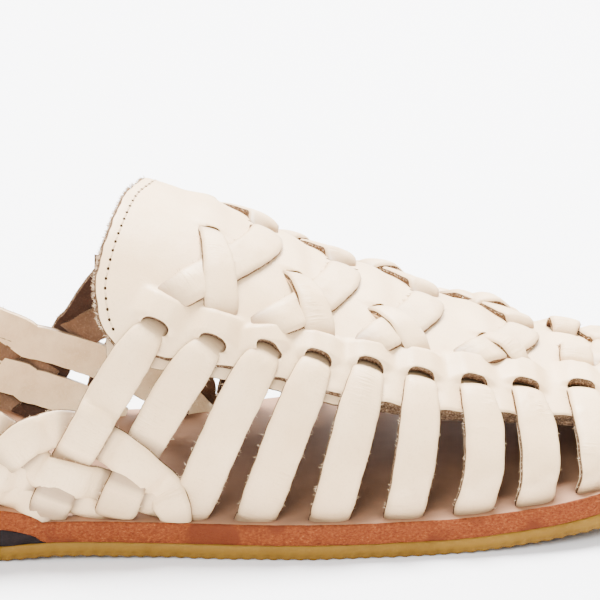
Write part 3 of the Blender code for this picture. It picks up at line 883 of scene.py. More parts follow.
print("a strip has a ring of points every", SAMPLE * 1000, "mm")

# %% [markdown]
# A strap is cut from 1.7 mm leather. Across, it has a softly crowned top, rounded grain edges and a flat
# back. Where it squeezes through a slot it narrows and its crown rises. Every strap also wanders a little,
# as hand-cut strips do. Its edges are noted down, because loose fibres are set on them at the end.

# %% Section of a strip
# place across as a share of half the width, height as a share of half the thickness
SECTION = [(-0.90, 1.0), (-0.72, 1.0), (-0.48, 1.0), (-0.24, 1.0), (0.0, 1.0), (0.24, 1.0), (0.48, 1.0),
           (0.72, 1.0), (0.90, 1.0), (0.985, 0.72), (1.0, 0.25), (1.0, -0.45), (0.95, -1.0), (0.55, -1.0),
           (0.0, -1.0), (-0.55, -1.0), (-0.95, -1.0), (-1.0, -0.45), (-1.0, 0.25), (-0.985, 0.72)]
SECTION_CUT = {9, 10, 11, 17, 18}      # faces that start at these corners show the cut edge
SECTION_FLESH = {12, 13, 14, 15}
RIGHT_EDGE, LEFT_EDGE = 10, 18         # corners where its fibres stand
WANDER, DENT = 0.035, 0.06 * MM        # how much its width wavers, as a share, and its top
ROUND_FROM, ROUND_DOWN = 0.72, 0.16    # where its top starts to round off, and how far down, shares
# painted shade along each strip's edges
EDGE_SHADE, EDGE_FROM = 0.16, 0.70     # how much darker its edges are, and from where on
frayed = []                            # edges of the strips: points, outward direction, shade


def sweep(centre, across, normal, half, crown, sag, shade):
    """Points, faces, finishes, shades and places of a strip through frames along a path."""
    count, sides = len(centre), len(SECTION)
    run = run_along(centre)
    left = 1 + ripples(run, (31 * MM, 13 * MM, 5 * MM), WANDER, chance)
    right = 1 + ripples(run, (27 * MM, 11 * MM, 4.3 * MM), WANDER, chance)
    dent = ripples(run, (9 * MM, 4.1 * MM), DENT, chance)
    points, shades, places = [], [], []
    seed = chance.uniform(0, 1)
    for share, level in SECTION:
        edge = np.where(share < 0, left, right)
        out = share * half * edge
        up = np.full(count, level * STRAP / 2)
        if level > 0:
            up = up + crown * (1 - share**2) + dent * (1 - share**2)
            up = up - STRAP * ROUND_DOWN * max(0.0, (abs(share) - ROUND_FROM) / (1 - ROUND_FROM)) ** 2
        points.append(centre + across * np.asarray(out)[:, None] + normal * np.asarray(up)[:, None]
                      + (sag(share) if sag is not None else 0))
        shades.append(np.clip(shade + EDGE_SHADE * max(0.0, abs(share) - EDGE_FROM) / 0.3, 0, 1))
        places.append(np.stack([run, np.broadcast_to(out, run.shape), np.full(count, seed)], -1))
    frayed.append((points[RIGHT_EDGE], across, shade))
    frayed.append((points[LEFT_EDGE], -across, shade))
    points = np.stack(points, 1).reshape(-1, 3)
    places = np.stack(places, 1).reshape(-1, 3)
    shades = np.stack(shades, 1).reshape(-1)
    faces = tube_faces(count, sides)
    kinds = []
    for i in range(count - 1):
        kinds += [CUT if j in SECTION_CUT else FLESH if j in SECTION_FLESH else GRAIN for j in range(sides)]
    return points, faces, kinds + [CUT, CUT], shades, places


def add_strip(name, strip, finishes):
    """A piece from what sweep or surface_strip gives."""
    points, faces, kinds, shades, places = strip
    return make_piece(name, points, faces, finishes, kinds, "cream_leather", shades, 60, places)


print("a strip has", len(SECTION), "points round")

# %% [markdown]
# Most strips lie on the last or on the heel's wall. A wide flat strip can't follow a round surface by its
# middle alone, so each of its points is let down onto the surface. Where strips are woven, one is lifted over
# the other and the lower one is darkened beside the crossing, as in the shade of the one on top.

# %% Strips on the last
WOVEN_GAP = STRAP + 0.55 * MM                    # rise of a strand that passes over another
WOVEN_FLAT, WOVEN_RAMP = 3.6 * MM, 3.6 * MM      # half its level stretch there, and the slope beside it
UNDER_SHADE = 0.75                               # shade of a strand under another
UNDER_FLAT, UNDER_FADE = 4.6 * MM, 2.8 * MM      # half that shade's stretch, and how it fades out
HUG_UNTIL, HUG_FADE = 0.80, 0.12                 # place across down to which a strip hugs the last
MOST_SAG = 1.6 * MM
TWIST_FROM, TWIST_RISE = 0.50, 0.18              # place across where a strap begins to twist
TWIST_UNTIL, TWIST_FALL = 0.86, 0.14             # and where it turns flat again


def surface_strip(surface, rows, twist=0.0, passes=(), hidden=()):
    """A strip over the last or round the heel. Rows: two places, height, width factor, crown, shade.
    twist turns its lower stretch about its own line, so that one edge stands out. passes holds the places
    where it lies on top of another strand, hidden those where it lies under one."""
    fine = curve_through(rows)
    point, _, _, normal = frames(surface, fine[:, 0], fine[:, 1])
    fine, _ = evenly(fine, point + normal * fine[:, 2:3])
    u, v, level, narrow, crown, shade = fine.T
    point, along, over, normal = frames(surface, u, v)
    centre = point + normal * level[:, None]
    lift = np.zeros(len(centre))
    for place in passes:
        away = np.linalg.norm(centre - place, axis=1)
        lift = np.maximum(lift, WOVEN_GAP * (1 - ease((away - WOVEN_FLAT) / WOVEN_RAMP)))
    centre = centre + normal * lift[:, None]
    for place in hidden:
        away = np.linalg.norm(centre - place, axis=1)
        shade = np.maximum(shade, UNDER_SHADE * (1 - ease((away - UNDER_FLAT) / UNDER_FADE)))
    forward = unit(np.gradient(centre, axis=0))
    across = unit(np.cross(normal, forward))
    up = unit(np.cross(forward, across))
    half = STRAP_WIDTH / 2 * narrow
    # the step in u and v that moves one metre across, solved in the surface's own plane
    aa, ab, bb = (np.sum(p * q, -1) for p, q in ((along, along), (along, over), (over, over)))
    ca, cb = np.sum(across * along, -1), np.sum(across * over, -1)
    det = np.maximum(aa * bb - ab * ab, 1e-14)
    step_u, step_v = (ca * bb - cb * ab) / det, (cb * aa - ca * ab) / det
    hug = 1 - ease((np.abs(v) - HUG_UNTIL) / HUG_FADE) if surface is last else np.ones_like(v)

    def sag(share):
        move = share * half
        there = surface(u + step_u * move, v + step_v * move)
        drop = np.sum((there - point - across * move[:, None]) * normal, -1)
        return normal * (np.clip(drop, -MOST_SAG, MOST_SAG) * hug)[:, None]

    if twist:
        angle = twist * ease((np.abs(v) - TWIST_FROM) / TWIST_RISE)
        angle = angle * (1 - ease((np.abs(v) - TWIST_UNTIL) / TWIST_FALL))
        cosine, sine = np.cos(angle)[:, None], np.sin(angle)[:, None]
        across, up = across * cosine + up * sine, up * cosine - across * sine
    return sweep(centre, across, up, half, crown, sag, np.clip(shade, 0, 1))


print("a woven strand rises", round(WOVEN_GAP * 1000, 2), "mm over the one below it")

# %% [markdown]
# The lacing is the heart of this shoe. From a hole on the crest one strip runs back and down to each side;
# from a slot a little behind it another runs forward and down over the first, so each pair crosses. Both then
# dive under the vamp, run hidden to a slot in its side and come out as two side straps, down to the footbed.

# %% Rows of the lacing and the side straps
# share of length of the centre hole, then of the upper slot and the two lower slots, each with its place
# across, and how far the strip from the centre hole bows forward
LACING = [
    (0.562, 0.510, 0.18, 0.517, 0.472, 0.470, 0.468, 0.023),
    (0.635, 0.584, 0.20, 0.605, 0.412, 0.554, 0.462, 0.017),
    (0.712, 0.660, 0.21, 0.694, 0.358, 0.648, 0.393, 0.012),
    (0.802, 0.758, 0.17, 0.792, 0.252, 0.740, 0.312, 0.010),
    (0.886, 0.845, 0.07, 0.846, 0.205, 0.872, 0.180, 0.000),
]
# share of length, and place across of the panel's side edge
EDGE = [
    (0.40, 0.630), (0.47, 0.632), (0.57, 0.605), (0.67, 0.600), (0.77, 0.545), (0.83, 0.515), (0.95, 0.500),
]
# heights of a strip's middle: under the panel, in its slot, on top of it, and over another strip
UNDER, THROUGH = -STRAP / 2 + 0.2 * MM, PANEL / 2
ON, OVER = PANEL + STRAP / 2 - 0.1 * MM, PANEL + 1.5 * STRAP - 0.3 * MM
PRESSED = 0.75 * MM       # how far a strip on top presses the panel in
IN = STRAP / 2            # height of a strip that lies against the foot
TOP_HOLE = 0.02           # place across of a hole on the crest


def bowed(u, bow):
    """How far a strip that bows forward has left the straight line at a share of its way."""
    return bow * math.sin(math.pi * min(max(u, 0), 1))


def strap_rows(number, row, side, lead):
    """(place along, place across, height, width factor, crown, shade) from the slot down into the footbed."""
    slot, across, foot, bow = row
    edge = float(table(EDGE, 1, slot))
    # the last number of each row is painted shade: dark where the strap comes out of its slot and towards its
    # foot
    places = [
        (across - 0.055, UNDER, 0.80, 0.2, 0.9), (across - 0.016, 0.1 * MM, 0.74, 0.2, 0.9),
        (across + 0.008, 0.7 * MM, 0.74, 0.35, 0.55), (across + 0.036, ON - PRESSED, 0.84, 0.60, 0.0),
        (edge + 0.010, ON - PRESSED, 0.98, 0.45, 0.0), (edge + 0.075, between(ON, IN, 0.6), 1.03, 0.35, 0.0),
    ]
    if number in WOVEN_STRAPS:
        places += [(0.82, IN, 0.98, 0.4, 0.0), (0.90, IN, 0.94, 0.4, 0.0)]
    else:
        places += [(between(edge, 1, 0.52), IN + 0.5 * MM, 1.03, 0.30, 0.0),
                   (0.91, IN + 0.25 * MM, 1.03, 0.35, 0.06)]
    places += [(0.965, IN, 1.0, 0.40, 0.26), (0.995, IN, 0.95, 0.40, 0.55),
               (1.035, IN, 0.90, 0.30, 0.95), (1.055, IN, 0.86, 0.20, 1.0)]
    rows = []
    for t, *rest in places:
        u = (t - across) / (1 - across)
        rows.append((between(slot, foot, u) + bowed(u, bow), t, *rest))
    return [(x_at(share), side * t, level, narrow, crown * MM, shade)
            for share, t, level, narrow, crown, shade in lead + rows]


def lace_rows(row, kind):
    """The same kind of rows for a strip of the lacing, from its upper hole to its lower one."""
    hole, top, top_t, low_a, low_a_t, low_b, low_b_t, bow = row
    # the last number of each row is painted shade: dark where the strip goes into or comes out of a slot
    if kind == "over":
        start, end = (top, top_t), (low_a, low_a_t)
        path = [
            (-0.20, UNDER, 0.60, 0.1, 1.0), (-0.03, THROUGH, 0.60, 0.2, 0.7),
            (0.12, ON, 0.64, 0.4, 0.15), (0.30, between(ON, OVER, 0.6), 0.72, 0.45, 0.0),
            (0.52, OVER, 0.80, 0.45, 0.0), (0.72, between(ON, OVER, 0.6), 0.86, 0.5, 0.0),
            (0.90, ON, 0.86, 0.6, 0.1), (1.03, THROUGH, 0.80, 0.5, 0.8),
        ]
    else:
        start, end = (hole, TOP_HOLE), (low_b, low_b_t)
        path = [
            (-0.10, UNDER, 0.70, 0.2, 1.0), (0.0, THROUGH, 0.78, 0.5, 0.7),
            (0.12, ON + 0.2 * MM, 0.90, 0.6, 0.1), (0.30, ON, 0.95, 0.4, 0.0),
            (0.55, ON - 0.1 * MM, 0.95, 0.3, 0.15), (0.75, ON, 0.95, 0.5, 0.1),
            (0.90, ON, 0.88, 0.7, 0.05), (1.03, THROUGH, 0.78, 0.6, 0.8),
        ]
        return [(between(start[0], end[0], u) + bow * math.sin(math.pi * min(max(u, 0), 1)) ** 0.8,
                 between(start[1], end[1], u), *rest) for u, *rest in path]
    return [(between(start[0], end[0], u), between(start[1], end[1], u), *rest) for u, *rest in path]


def lace_of(number):
    """Which pair of the lacing a side strap comes from, and which of its two strips."""
    crossing = (number - 1) // 2
    return crossing, "under" if (number % 2) != (crossing == len(LACING) - 1) else "over"


print(len(LACING), "pairs in the lacing")

# %% [markdown]
# At the toe one last strap comes out of a slot on the crest, over the panel's end and down to the footbed.
# It leaves the last's surface there, so its path is a plain curve in space.

# %% Toe strap
PANEL_END = 0.945         # end of the panel at the toe, share of length
BESIDE_CREST = 0.001      # place across just beside the crest, where the last's two halves meet
TOE_CROWN = 0.5 * MM
TOE_ROWS = ((0.892, UNDER), (0.902, THROUGH), (0.918, ON), (PANEL_END, ON), (0.958, IN + 0.6 * MM))
tip = LENGTH / 2 - LEDGE


def toe_strap():
    path = []
    for share, level in TOE_ROWS:
        point, normal = last_at(share, BESIDE_CREST)
        path.append(point + normal * level)
    y, bed = path[-1][1], float(footbed(tip))
    path += [np.array([tip - 1.2 * MM, y, bed + 5.5 * MM]), np.array([tip, y, bed + 1.5 * MM]),
             np.array([tip - 0.2 * MM, y, bed - 1.5 * MM])]
    path, run = evenly(curve_through(path), curve_through(path))
    forward = unit(np.gradient(path, axis=0))
    across = np.tile([0.0, 1.0, 0.0], (len(path), 1))
    u = run / run[-1]
    narrow = 0.72 + 0.26 * ease((u - 0.15) / 0.35)
    # painted shade: dark where the strap leaves its slot and where it enters the footbed
    shade = np.maximum(1 - ease(u / 0.22), ease((u - 0.90) / 0.08))
    half = STRAP_WIDTH / 2 * narrow
    strip = sweep(path, across, np.cross(forward, across), half, TOE_CROWN, None, shade)
    return add_strip("toe_strap", strip, UPPER_FINISHES)


toe_strap()
print("toe strap made")

# %% [markdown]
# At each side of the heel the leather is woven. Two arched strands rise from the footbed and come down again
# further back, and the two slings that hold the heel pass in and out of them. Their lines were drawn
# on the last, outer side first. On the inner side, which the picture shows only in part, the arches stand
# further forward, outside the slings, and the upper sling lies a little higher.

# %% Lines of the woven quarters and slings
# share of length, height as a share of the instep
ARC_FRONT = [
    (0.479, -0.02), (0.471, 0.070), (0.457, 0.142), (0.434, 0.218), (0.410, 0.274),
    (0.379, 0.318), (0.352, 0.300), (0.326, 0.212), (0.300, 0.110), (0.281, 0.030),
    (0.273, -0.02),
]
ARC_BACK = [
    (0.361, -0.02), (0.346, 0.035), (0.322, 0.070), (0.296, 0.150), (0.265, 0.235),
    (0.228, 0.205), (0.195, 0.110), (0.176, -0.02),
]
SLING_UPPER = [
    (0.487, -0.02), (0.475, 0.024), (0.460, 0.056), (0.442, 0.084), (0.420, 0.106),
    (0.382, 0.152), (0.349, 0.192), (0.325, 0.262), (0.262, 0.375), (0.180, 0.510),
    (0.100, 0.630), (0.040, 0.710),
]
SLING_LOWER = [
    (0.413, -0.02), (0.404, 0.018), (0.394, 0.045), (0.368, 0.092), (0.346, 0.120),
    (0.318, 0.125), (0.290, 0.165), (0.262, 0.215), (0.215, 0.290), (0.150, 0.390),
    (0.090, 0.480), (0.040, 0.540),
]
ARC_FRONT_INNER = [
    (0.522, -0.02), (0.514, 0.080), (0.498, 0.190), (0.476, 0.280), (0.448, 0.350),
    (0.420, 0.348), (0.394, 0.280), (0.366, 0.180), (0.340, 0.080), (0.322, -0.02),
]
ARC_BACK_INNER = [
    (0.400, -0.02), (0.384, 0.060), (0.356, 0.150), (0.318, 0.225), (0.276, 0.215),
    (0.240, 0.120), (0.222, -0.02),
]
SLING_UPPER_INNER = [
    (0.520, -0.02), (0.502, 0.040), (0.478, 0.090), (0.448, 0.150), (0.414, 0.206),
    (0.383, 0.248), (0.355, 0.282), (0.325, 0.305), (0.262, 0.390), (0.180, 0.515),
    (0.100, 0.630), (0.040, 0.710),
]
SLING_LOWER_INNER = [
    (0.440, -0.02), (0.422, 0.020), (0.402, 0.052), (0.380, 0.080), (0.355, 0.112),
    (0.325, 0.122), (0.292, 0.160), (0.262, 0.210), (0.215, 0.290), (0.150, 0.390),
    (0.090, 0.480), (0.040, 0.540),
]
QUARTERS = {
    "arc_front": (ARC_FRONT, ARC_FRONT_INNER), "arc_back": (ARC_BACK, ARC_BACK_INNER),
    "sling_upper": (SLING_UPPER, SLING_UPPER_INNER), "sling_lower": (SLING_LOWER, SLING_LOWER_INNER),
}
SLING_BACK = {"sling_upper": 0.735, "sling_lower": 0.560}      # height behind the heel, share of the instep
SLING_WIDE = {"sling_upper": 0.86, "sling_lower": 0.80}        # pulled narrow where they are woven outside
STRAND_WIDE, STRAND_CROWN = 0.93, 0.6 * MM
print(len(QUARTERS), "strands on each side")

# %% [markdown]
# Which strand lies on top is written down for each pair that crosses. The places where they cross are then
# found by walking along one line and looking for where it comes closest to the other.

# %% Crossings of the weave
WEAVE_FROM = 0.62                 # place across from which a strap can meet the weave
MEETING, FAR = 2.2 * MM, 9.0      # nearer than this two lines cross; farther than any place on the shoe


def quarter_rows(strand, side, wide=STRAND_WIDE):
    """The rows that surface_strip takes, with a strand that tapers into the footbed and is darkened there
    with painted shade.
    """
    rows = []
    for share, high in strand:
        low = 1 - float(ease((high + 0.02) / 0.05))
        foot = 1 - float(ease((high + 0.02) / 0.11))
        rows.append((turn_at(share, side), high * INSTEP_HEIGHT, IN, wide - 0.28 * foot, STRAND_CROWN,
                     0.8 * low + 0.22 * foot))
    return rows


def base_line(surface, rows):
    """Middle line of a strand before it is lifted over its neighbours."""
    fine = curve_through(rows)
    point, _, _, normal = frames(surface, fine[:, 0], fine[:, 1])
    line = point + normal * IN
    return line[np.abs(fine[:, 1]) > WEAVE_FROM] if surface is last else line


def meetings(line, other):
    """Places along a line where it crosses another one."""
    apart = np.linalg.norm(line[:, None] - other[None], axis=2).min(axis=1)
    padded = np.concatenate([[FAR], apart, [FAR]])
    dips = (padded[1:-1] <= padded[:-2]) & (padded[1:-1] < padded[2:]) & (apart < MEETING)
    return list(line[dips])


def strap_name(number):
    return f"strap_{number:02d}"


def lines_of(side):
    """Middle lines of everything that is woven on one side."""
    lines = {}
    for name, both in QUARTERS.items():
        lines[name] = base_line(heel_wall, quarter_rows(both[0 if side < 0 else 1], side))
    for number in WOVEN_STRAPS:
        rows = strap_rows(number, STRAPS[number - 1], side, [])
        lines[strap_name(number)] = base_line(last, rows)
    return lines


# the upper one of each two that cross, then the lower one, on both sides and where the sides differ
ON_TOP = [
    ("strap_01", "arc_front"), ("strap_01", "sling_lower"), ("arc_front", "strap_02"),
    ("strap_02", "sling_upper"), ("arc_front", "sling_upper"), ("arc_back", "arc_front"),
    ("arc_back", "strap_01"),
]
ON_TOP_HERE = {
    -1: [("sling_upper", "strap_01"), ("sling_lower", "arc_front"), ("sling_lower", "arc_back")],
    1: [("strap_01", "sling_upper"), ("arc_front", "sling_lower"), ("arc_back", "sling_lower")],
}
over_places, under_places = {}, {}
for side in (-1, 1):
    lines = lines_of(side)
    over_places[side] = {name: [] for name in lines}
    under_places[side] = {name: [] for name in lines}
    for above, below in ON_TOP + ON_TOP_HERE[side]:
        found = meetings(lines[above], lines[below])
        over_places[side][above] += found
        under_places[side][below] += found
print("on top on the outer side:", {name: len(found) for name, found in over_places[-1].items()})

# %% [markdown]
# With the crossings known, the strands are plain strips. The arches show brown suede on their inner face. The
# slings are one long strip each, round the heel from one side to the other, and cream on both faces.

# %% Woven quarters and slings
for arc in ("arc_front", "arc_back"):
    for side, word, strand in zip((-1, 1), ("outer", "inner"), QUARTERS[arc]):
        strip = surface_strip(heel_wall, quarter_rows(strand, side), passes=over_places[side][arc],
                              hidden=under_places[side][arc])
        add_strip(arc + "_" + word, strip, [cream_grain, cut_edge, suede])
for sling, height in SLING_BACK.items():
    outer, inner = QUARTERS[sling]
    behind = [(0.0, height * INSTEP_HEIGHT, IN, 1.0, 0.35 * MM, 0.0)]
    rows = quarter_rows(outer, -1, SLING_WIDE[sling]) + behind + quarter_rows(inner, 1)[::-1]
    strip = surface_strip(heel_wall, rows, passes=over_places[-1][sling] + over_places[1][sling],
                          hidden=under_places[-1][sling] + under_places[1][sling])
    add_strip(sling, strip, [cream_grain, pale_edge, cream_back])
print("quarters and slings made")

# %% [markdown]
# Now the side straps can be made, each in one length with its strip of the lacing. The further forward a
# strap stands, the more it is twisted, so its raw heel edge turns towards the eye.

# %% Side straps with their lacing
TWIST = {3: 4, 4: 6, 5: 10, 6: 15, 7: 18, 8: 20, 9: 18}      # strap's number, degrees
strap_count = 0
for side, word in ((-1, "outer"), (1, "inner")):
    for number, row in enumerate(STRAPS, start=1):
        crossing, kind = lace_of(number)
        lead = lace_rows(LACING[crossing], kind) if crossing < len(LACING) else []
        name = strap_name(number)
        strip = surface_strip(last, strap_rows(number, row, side, lead),
                              twist=side * math.radians(TWIST.get(number, 0)),
                              passes=over_places[side].get(name, ()), hidden=under_places[side].get(name, ()))
        add_strip(name.replace("_", "_" + word + "_"), strip, UPPER_FINISHES)
        strap_count += 1
print("laced and side straps:", strap_count)

# %% [markdown]
# The vamp is one panel of the same leather, moulded over the instep. It is not smooth: where a strip runs
# hidden beneath it, it is pushed up in a soft ridge, and at each slot one lip rides up over the strip while
# the other is pressed flat under it. Those soft ridges are what catches the light along the whole shoe.

# %% Hidden runs under the vamp
# place across, share of length on the outer and on the inner side
THROAT = [
    (0.00, 0.452, 0.452), (0.10, 0.438, 0.457), (0.26, 0.422, 0.462), (0.40, 0.409, 0.456),
    (0.48, 0.404, 0.448), (0.56, 0.407, 0.443), (0.63, 0.424, 0.447),
]
END_ROUND = 0.065         # how much earlier the panel ends at its side edge, share of length
RIDGE = 1.9 * MM          # how high a hidden strip lifts the panel
CREST_RIDGE = 0.7 * MM    # the same on the crest, where the panel is pulled tight
HIDDEN_HALF, CREST_HALF, PRESSED_HALF = 3.7 * MM, 2.6 * MM, 3.4 * MM      # half widths of those runs
SIDE_SLOT, LACE_SLOT = (6.7 * MM, 3.2 * MM), (5.4 * MM, 2.0 * MM)         # long and short axis
CREST_SLOT, TOE_SLOT = (8.2 * MM, 1.5 * MM), (8.0 * MM, 2.4 * MM)
ACROSS, ALONG = np.array([0.0, 1.0, 0.0]), np.array([1.0, 0.0, 0.0])
TOE_SLOT_AT = 0.905       # share of length


def on_last(share, t):
    return last(x_at(share), t)


hidden_runs = []      # start, end, half width, height, which is negative where a strip on top presses in
slots = []            # share of length, place across, direction of the strip that comes through, axes
for side in (-1, 1):
    for number, (slot, across, foot, _) in enumerate(STRAPS, start=1):
        crossing, kind = lace_of(number)
        if crossing < len(LACING):
            _, _, _, low_a, low_a_t, low_b, low_b_t, _ = LACING[crossing]
            start = on_last(low_b, side * low_b_t) if kind == "under" else on_last(low_a, side * low_a_t)
        else:
            start = on_last(slot, side * (across - 0.10))
        end = on_last(slot, side * (across - 0.004))
        hidden_runs.append((start, end, HIDDEN_HALF, RIDGE))
        lower = on_last(slot + 0.10 * (foot - slot), side * (across + 0.06))
        slots.append((slot, side * (across + 0.004), lower - end, SIDE_SLOT))
        hem = float(table(EDGE, 1, slot))
        u = (hem + 0.05 - across) / (1 - across)
        start = on_last(slot, side * (across + 0.030))
        end = on_last(between(slot, foot, u), side * (hem + 0.05))
        hidden_runs.append((start, end, PRESSED_HALF, -PRESSED))
    for _, top, top_t, low_a, low_a_t, *_ in LACING:
        down = on_last(low_a, side * low_a_t) - on_last(top, side * top_t)
        slots.append((top, side * top_t, down, LACE_SLOT))
for hole, top, top_t, *_ in LACING:
    hidden_runs.append((on_last(top, -top_t + 0.01), on_last(top, top_t - 0.01), CREST_HALF, CREST_RIDGE))
    slots.append((hole, BESIDE_CREST, ACROSS, CREST_SLOT))
slots.append((TOE_SLOT_AT, BESIDE_CREST, ALONG, TOE_SLOT))
print(len(hidden_runs), "hidden runs and", len(slots), "slots")

# %% [markdown]
# The panel is a fine grid on the last. Each grid point rises by the tallest ridge near it. The ridges are
# plateaus with soft shoulders, cut off sharply at their ends, because there the slot lets the strip out.

# %% Shape of the vamp
ROWS, COLUMNS = 190, 150
RIM = (0.0, 0.30 * MM, 0.60 * MM, 1.0 * MM)      # distances from an edge, where the grid is finer
RIM_HEIGHT = (0.40, 0.80, 0.96, 1.0)             # height there, as a share of the wall
PANEL_LONG, PANEL_HALF = 0.50 * LENGTH, 38 * MM  # rough size that sets those distances on the grid
SHOULDER, RUN_END = (0.6 * MM, 5.4 * MM), (0.15 * MM, 1.8 * MM)      # of a ridge: reach beyond, softness
SOFT_WAVES, SOFT_DEPTH = (17 * MM, 29 * MM), 0.12 * MM               # slow swell of the leather
RIDGE_REACH = 12 * MM      # farther from a run than this nothing is worked out
SOFT_WAYS = (np.array([1, 0.3, 0]), np.array([0.2, 1, 0.4]))


def soft_step(value, width):
    return ease(0.5 + value / width)


def relief(points, normals):
    """How far hidden strips lift the panel and the ones on top press it in."""
    lift, press = np.zeros(len(points)), np.zeros(len(points))
    for start, end, half, height in hidden_runs:
        run = end - start
        length = np.linalg.norm(run)
        run = run / length
        gap = points - (start + end) / 2
        near = np.linalg.norm(gap, axis=1) < length / 2 + RIDGE_REACH
        gap, normal = gap[near], normals[near]
        sideways = unit(np.cross(normal, np.broadcast_to(run, normal.shape)))
        off = np.abs(np.sum(gap * sideways, -1))
        along = np.abs(gap @ run) - length / 2
        bell = soft_step(half + SHOULDER[0] - off, SHOULDER[1]) * soft_step(RUN_END[0] - along, RUN_END[1])
        target = lift if height > 0 else press
        target[near] = np.maximum(target[near], abs(height) * bell)
    return lift - press * (1 - np.clip(lift / RIDGE, 0, 1))


def vamp_grid():
    u = np.linspace(0, 1, ROWS)
    near = np.array(RIM) / PANEL_LONG
    u = np.concatenate([near, u[3:-3], 1 - near[::-1]])
    v = np.linspace(-1, 1, COLUMNS)
    edge = np.array(RIM) / PANEL_HALF
    v = np.concatenate([-1 + edge, v[3:-3], 1 - edge[::-1]])
    return u, v


def rim_height(count):
    heights = np.ones(count)
    heights[:len(RIM)] = RIM_HEIGHT
    heights[-len(RIM):] = RIM_HEIGHT[::-1]
    return heights


def throat_at(v):
    """Share of length at which the panel begins, at a place across it from -1 to 1."""
    across = np.abs(v) * THROAT[-1][0]
    return np.where(v < 0, table(THROAT, 1, across), table(THROAT, 2, across))


def vamp():
    """Top and bottom of the panel, with the number of its rows and columns."""
    u, v = vamp_grid()
    start = throat_at(v)
    end = PANEL_END - END_ROUND * np.abs(v)**3
    share = start[None, :] + (end - start)[None, :] * u[:, None]
    share = share + (ripples(v * 40 * MM, (7 * MM, 3.1 * MM), 0.0009, chance) * (1 - ease(u * 40))[:, None])
    t = v[None, :] * table(EDGE, 1, share)
    waver = ripples(share[:, :1] * LENGTH, (11 * MM, 4.7 * MM), 1.0, chance)
    t = t * (1 + 0.006 * waver * np.abs(v)[None, :]**12)
    point, _, _, normal = frames(last, x_at(share), t)
    flat, outward = point.reshape(-1, 3), normal.reshape(-1, 3)
    lift = relief(flat, outward)
    wall = PANEL * np.minimum(rim_height(len(u))[:, None], rim_height(len(v))[None, :]).reshape(-1)
    soft = sum(ripples(flat @ way, SOFT_WAVES, SOFT_DEPTH, chance) for way in SOFT_WAYS)
    top = flat + outward * (lift + wall + soft)[:, None]
    bottom = flat + outward * (lift * 0.95 + 0.1 * MM)[:, None]
    return top, bottom, len(u), len(v)


def vamp_panel():
    top, bottom, rows, columns = vamp()
    points = np.concatenate([top, bottom])
    base = rows * columns
    faces, kinds = [], []

    def cell(i, j):
        return i * columns + j

    for i in range(rows - 1):
        for j in range(columns - 1):
            a, b, c, d = cell(i, j), cell(i + 1, j), cell(i + 1, j + 1), cell(i, j + 1)
            faces += [(a, b, c, d), (base + d, base + c, base + b, base + a)]
            rim = i < 2 or j < 1 or i > rows - 3 or j > columns - 3
            kinds += [CUT if rim else GRAIN, FLESH]
    ring = [cell(0, j) for j in range(columns)] + [cell(i, columns - 1) for i in range(1, rows)]
    ring += [cell(rows - 1, j) for j in range(columns - 2, -1, -1)]
    ring += [cell(i, 0) for i in range(rows - 2, 0, -1)]
    for here, following in zip(ring, ring[1:] + ring[:1]):
        faces.append((here, following, base + following, base + here))
        kinds.append(CUT)
    shade = np.zeros(len(points))
    return make_piece("vamp_panel", points, faces, UPPER_FINISHES, kinds, "cream_leather", shade, 50)


panel = vamp_panel()
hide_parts("upper")
print("vamp", len(panel.data.polygons), "faces before its slots are cut")

# %% [markdown]
# The slots are cut with a boolean: one lens-shaped cutter for each, its long axis across the strip that
# comes through. The cutters carry the same list of finishes, so the new walls show the cut edge.

# %% Cut the slots
SLOT_SIDES = 20
CUT_FROM, CUT_TO = -3.0 * MM, 7.0 * MM      # depth of a cutter, below and above the last


def slot_cutters():
    points, faces = [], []
    for share, t, direction, (long, short) in slots:
        centre, outward = last_at(share, t)
        down = unit(direction - outward * (direction @ outward))
        wide = np.cross(outward, down)
        first = len(points)
        for depth in (CUT_FROM, CUT_TO):
            for k in range(SLOT_SIDES):
                angle = 2 * math.pi * k / SLOT_SIDES
                pinch = abs(math.sin(angle)) ** 0.8 * math.copysign(1, math.sin(angle))
                points.append(centre + outward * depth + wide * long / 2 * math.cos(angle)
                              + down * short / 2 * pinch)
        faces += tube_faces(2, SLOT_SIDES, first)
    cutter = make_piece("slot_cutters", points, faces, UPPER_FINISHES, [CUT] * len(faces))
    return cutter


def cut_slots(piece):
    cutter = slot_cutters()
    step = piece.modifiers.new("slots", "BOOLEAN")
    step.operation = "DIFFERENCE"
    step.solver = "MANIFOLD"
    step.object = cutter
    evaluated = piece.evaluated_get(bpy.context.evaluated_depsgraph_get())
    cut = bpy.data.meshes.new_from_object(evaluated)
    piece.modifiers.clear()
    piece.data = cut
    bpy.data.objects.remove(cutter, do_unlink=True)


cut_slots(panel)
print("vamp", len(panel.data.polygons), "faces after")

# %% [markdown]
# The panel is lined with a thinner skin. It reaches a little past the panel's edge, so a narrow pale band and
# its raw rim show between the first side straps. Further forward it is cut back to a rough grey-brown line.

# %% Lining
LINING_ROWS = [(0.415, 2.6), (0.56, 2.4), (0.61, 1.9), (0.66, 1.2), (0.90, 0.9)]   # share, millimetres shown
LINING_STEPS = 190
PALE_UNTIL = 0.625        # share of length to which its grain side shows
# its section: how far past the panel's edge, or None where it ends, then its height
LINING_RING = ((-3.5 * MM, -0.02 * MM), (-1.0 * MM, 0.0), (None, 0.0), (None, -LINING), (-3.5 * MM, -LINING))
# painted shade across the lining's section: dark where it lies under the panel, light at its shown edge
LINING_SHADE = (0.9, 0.45, 0.10, 0.3, 0.9)


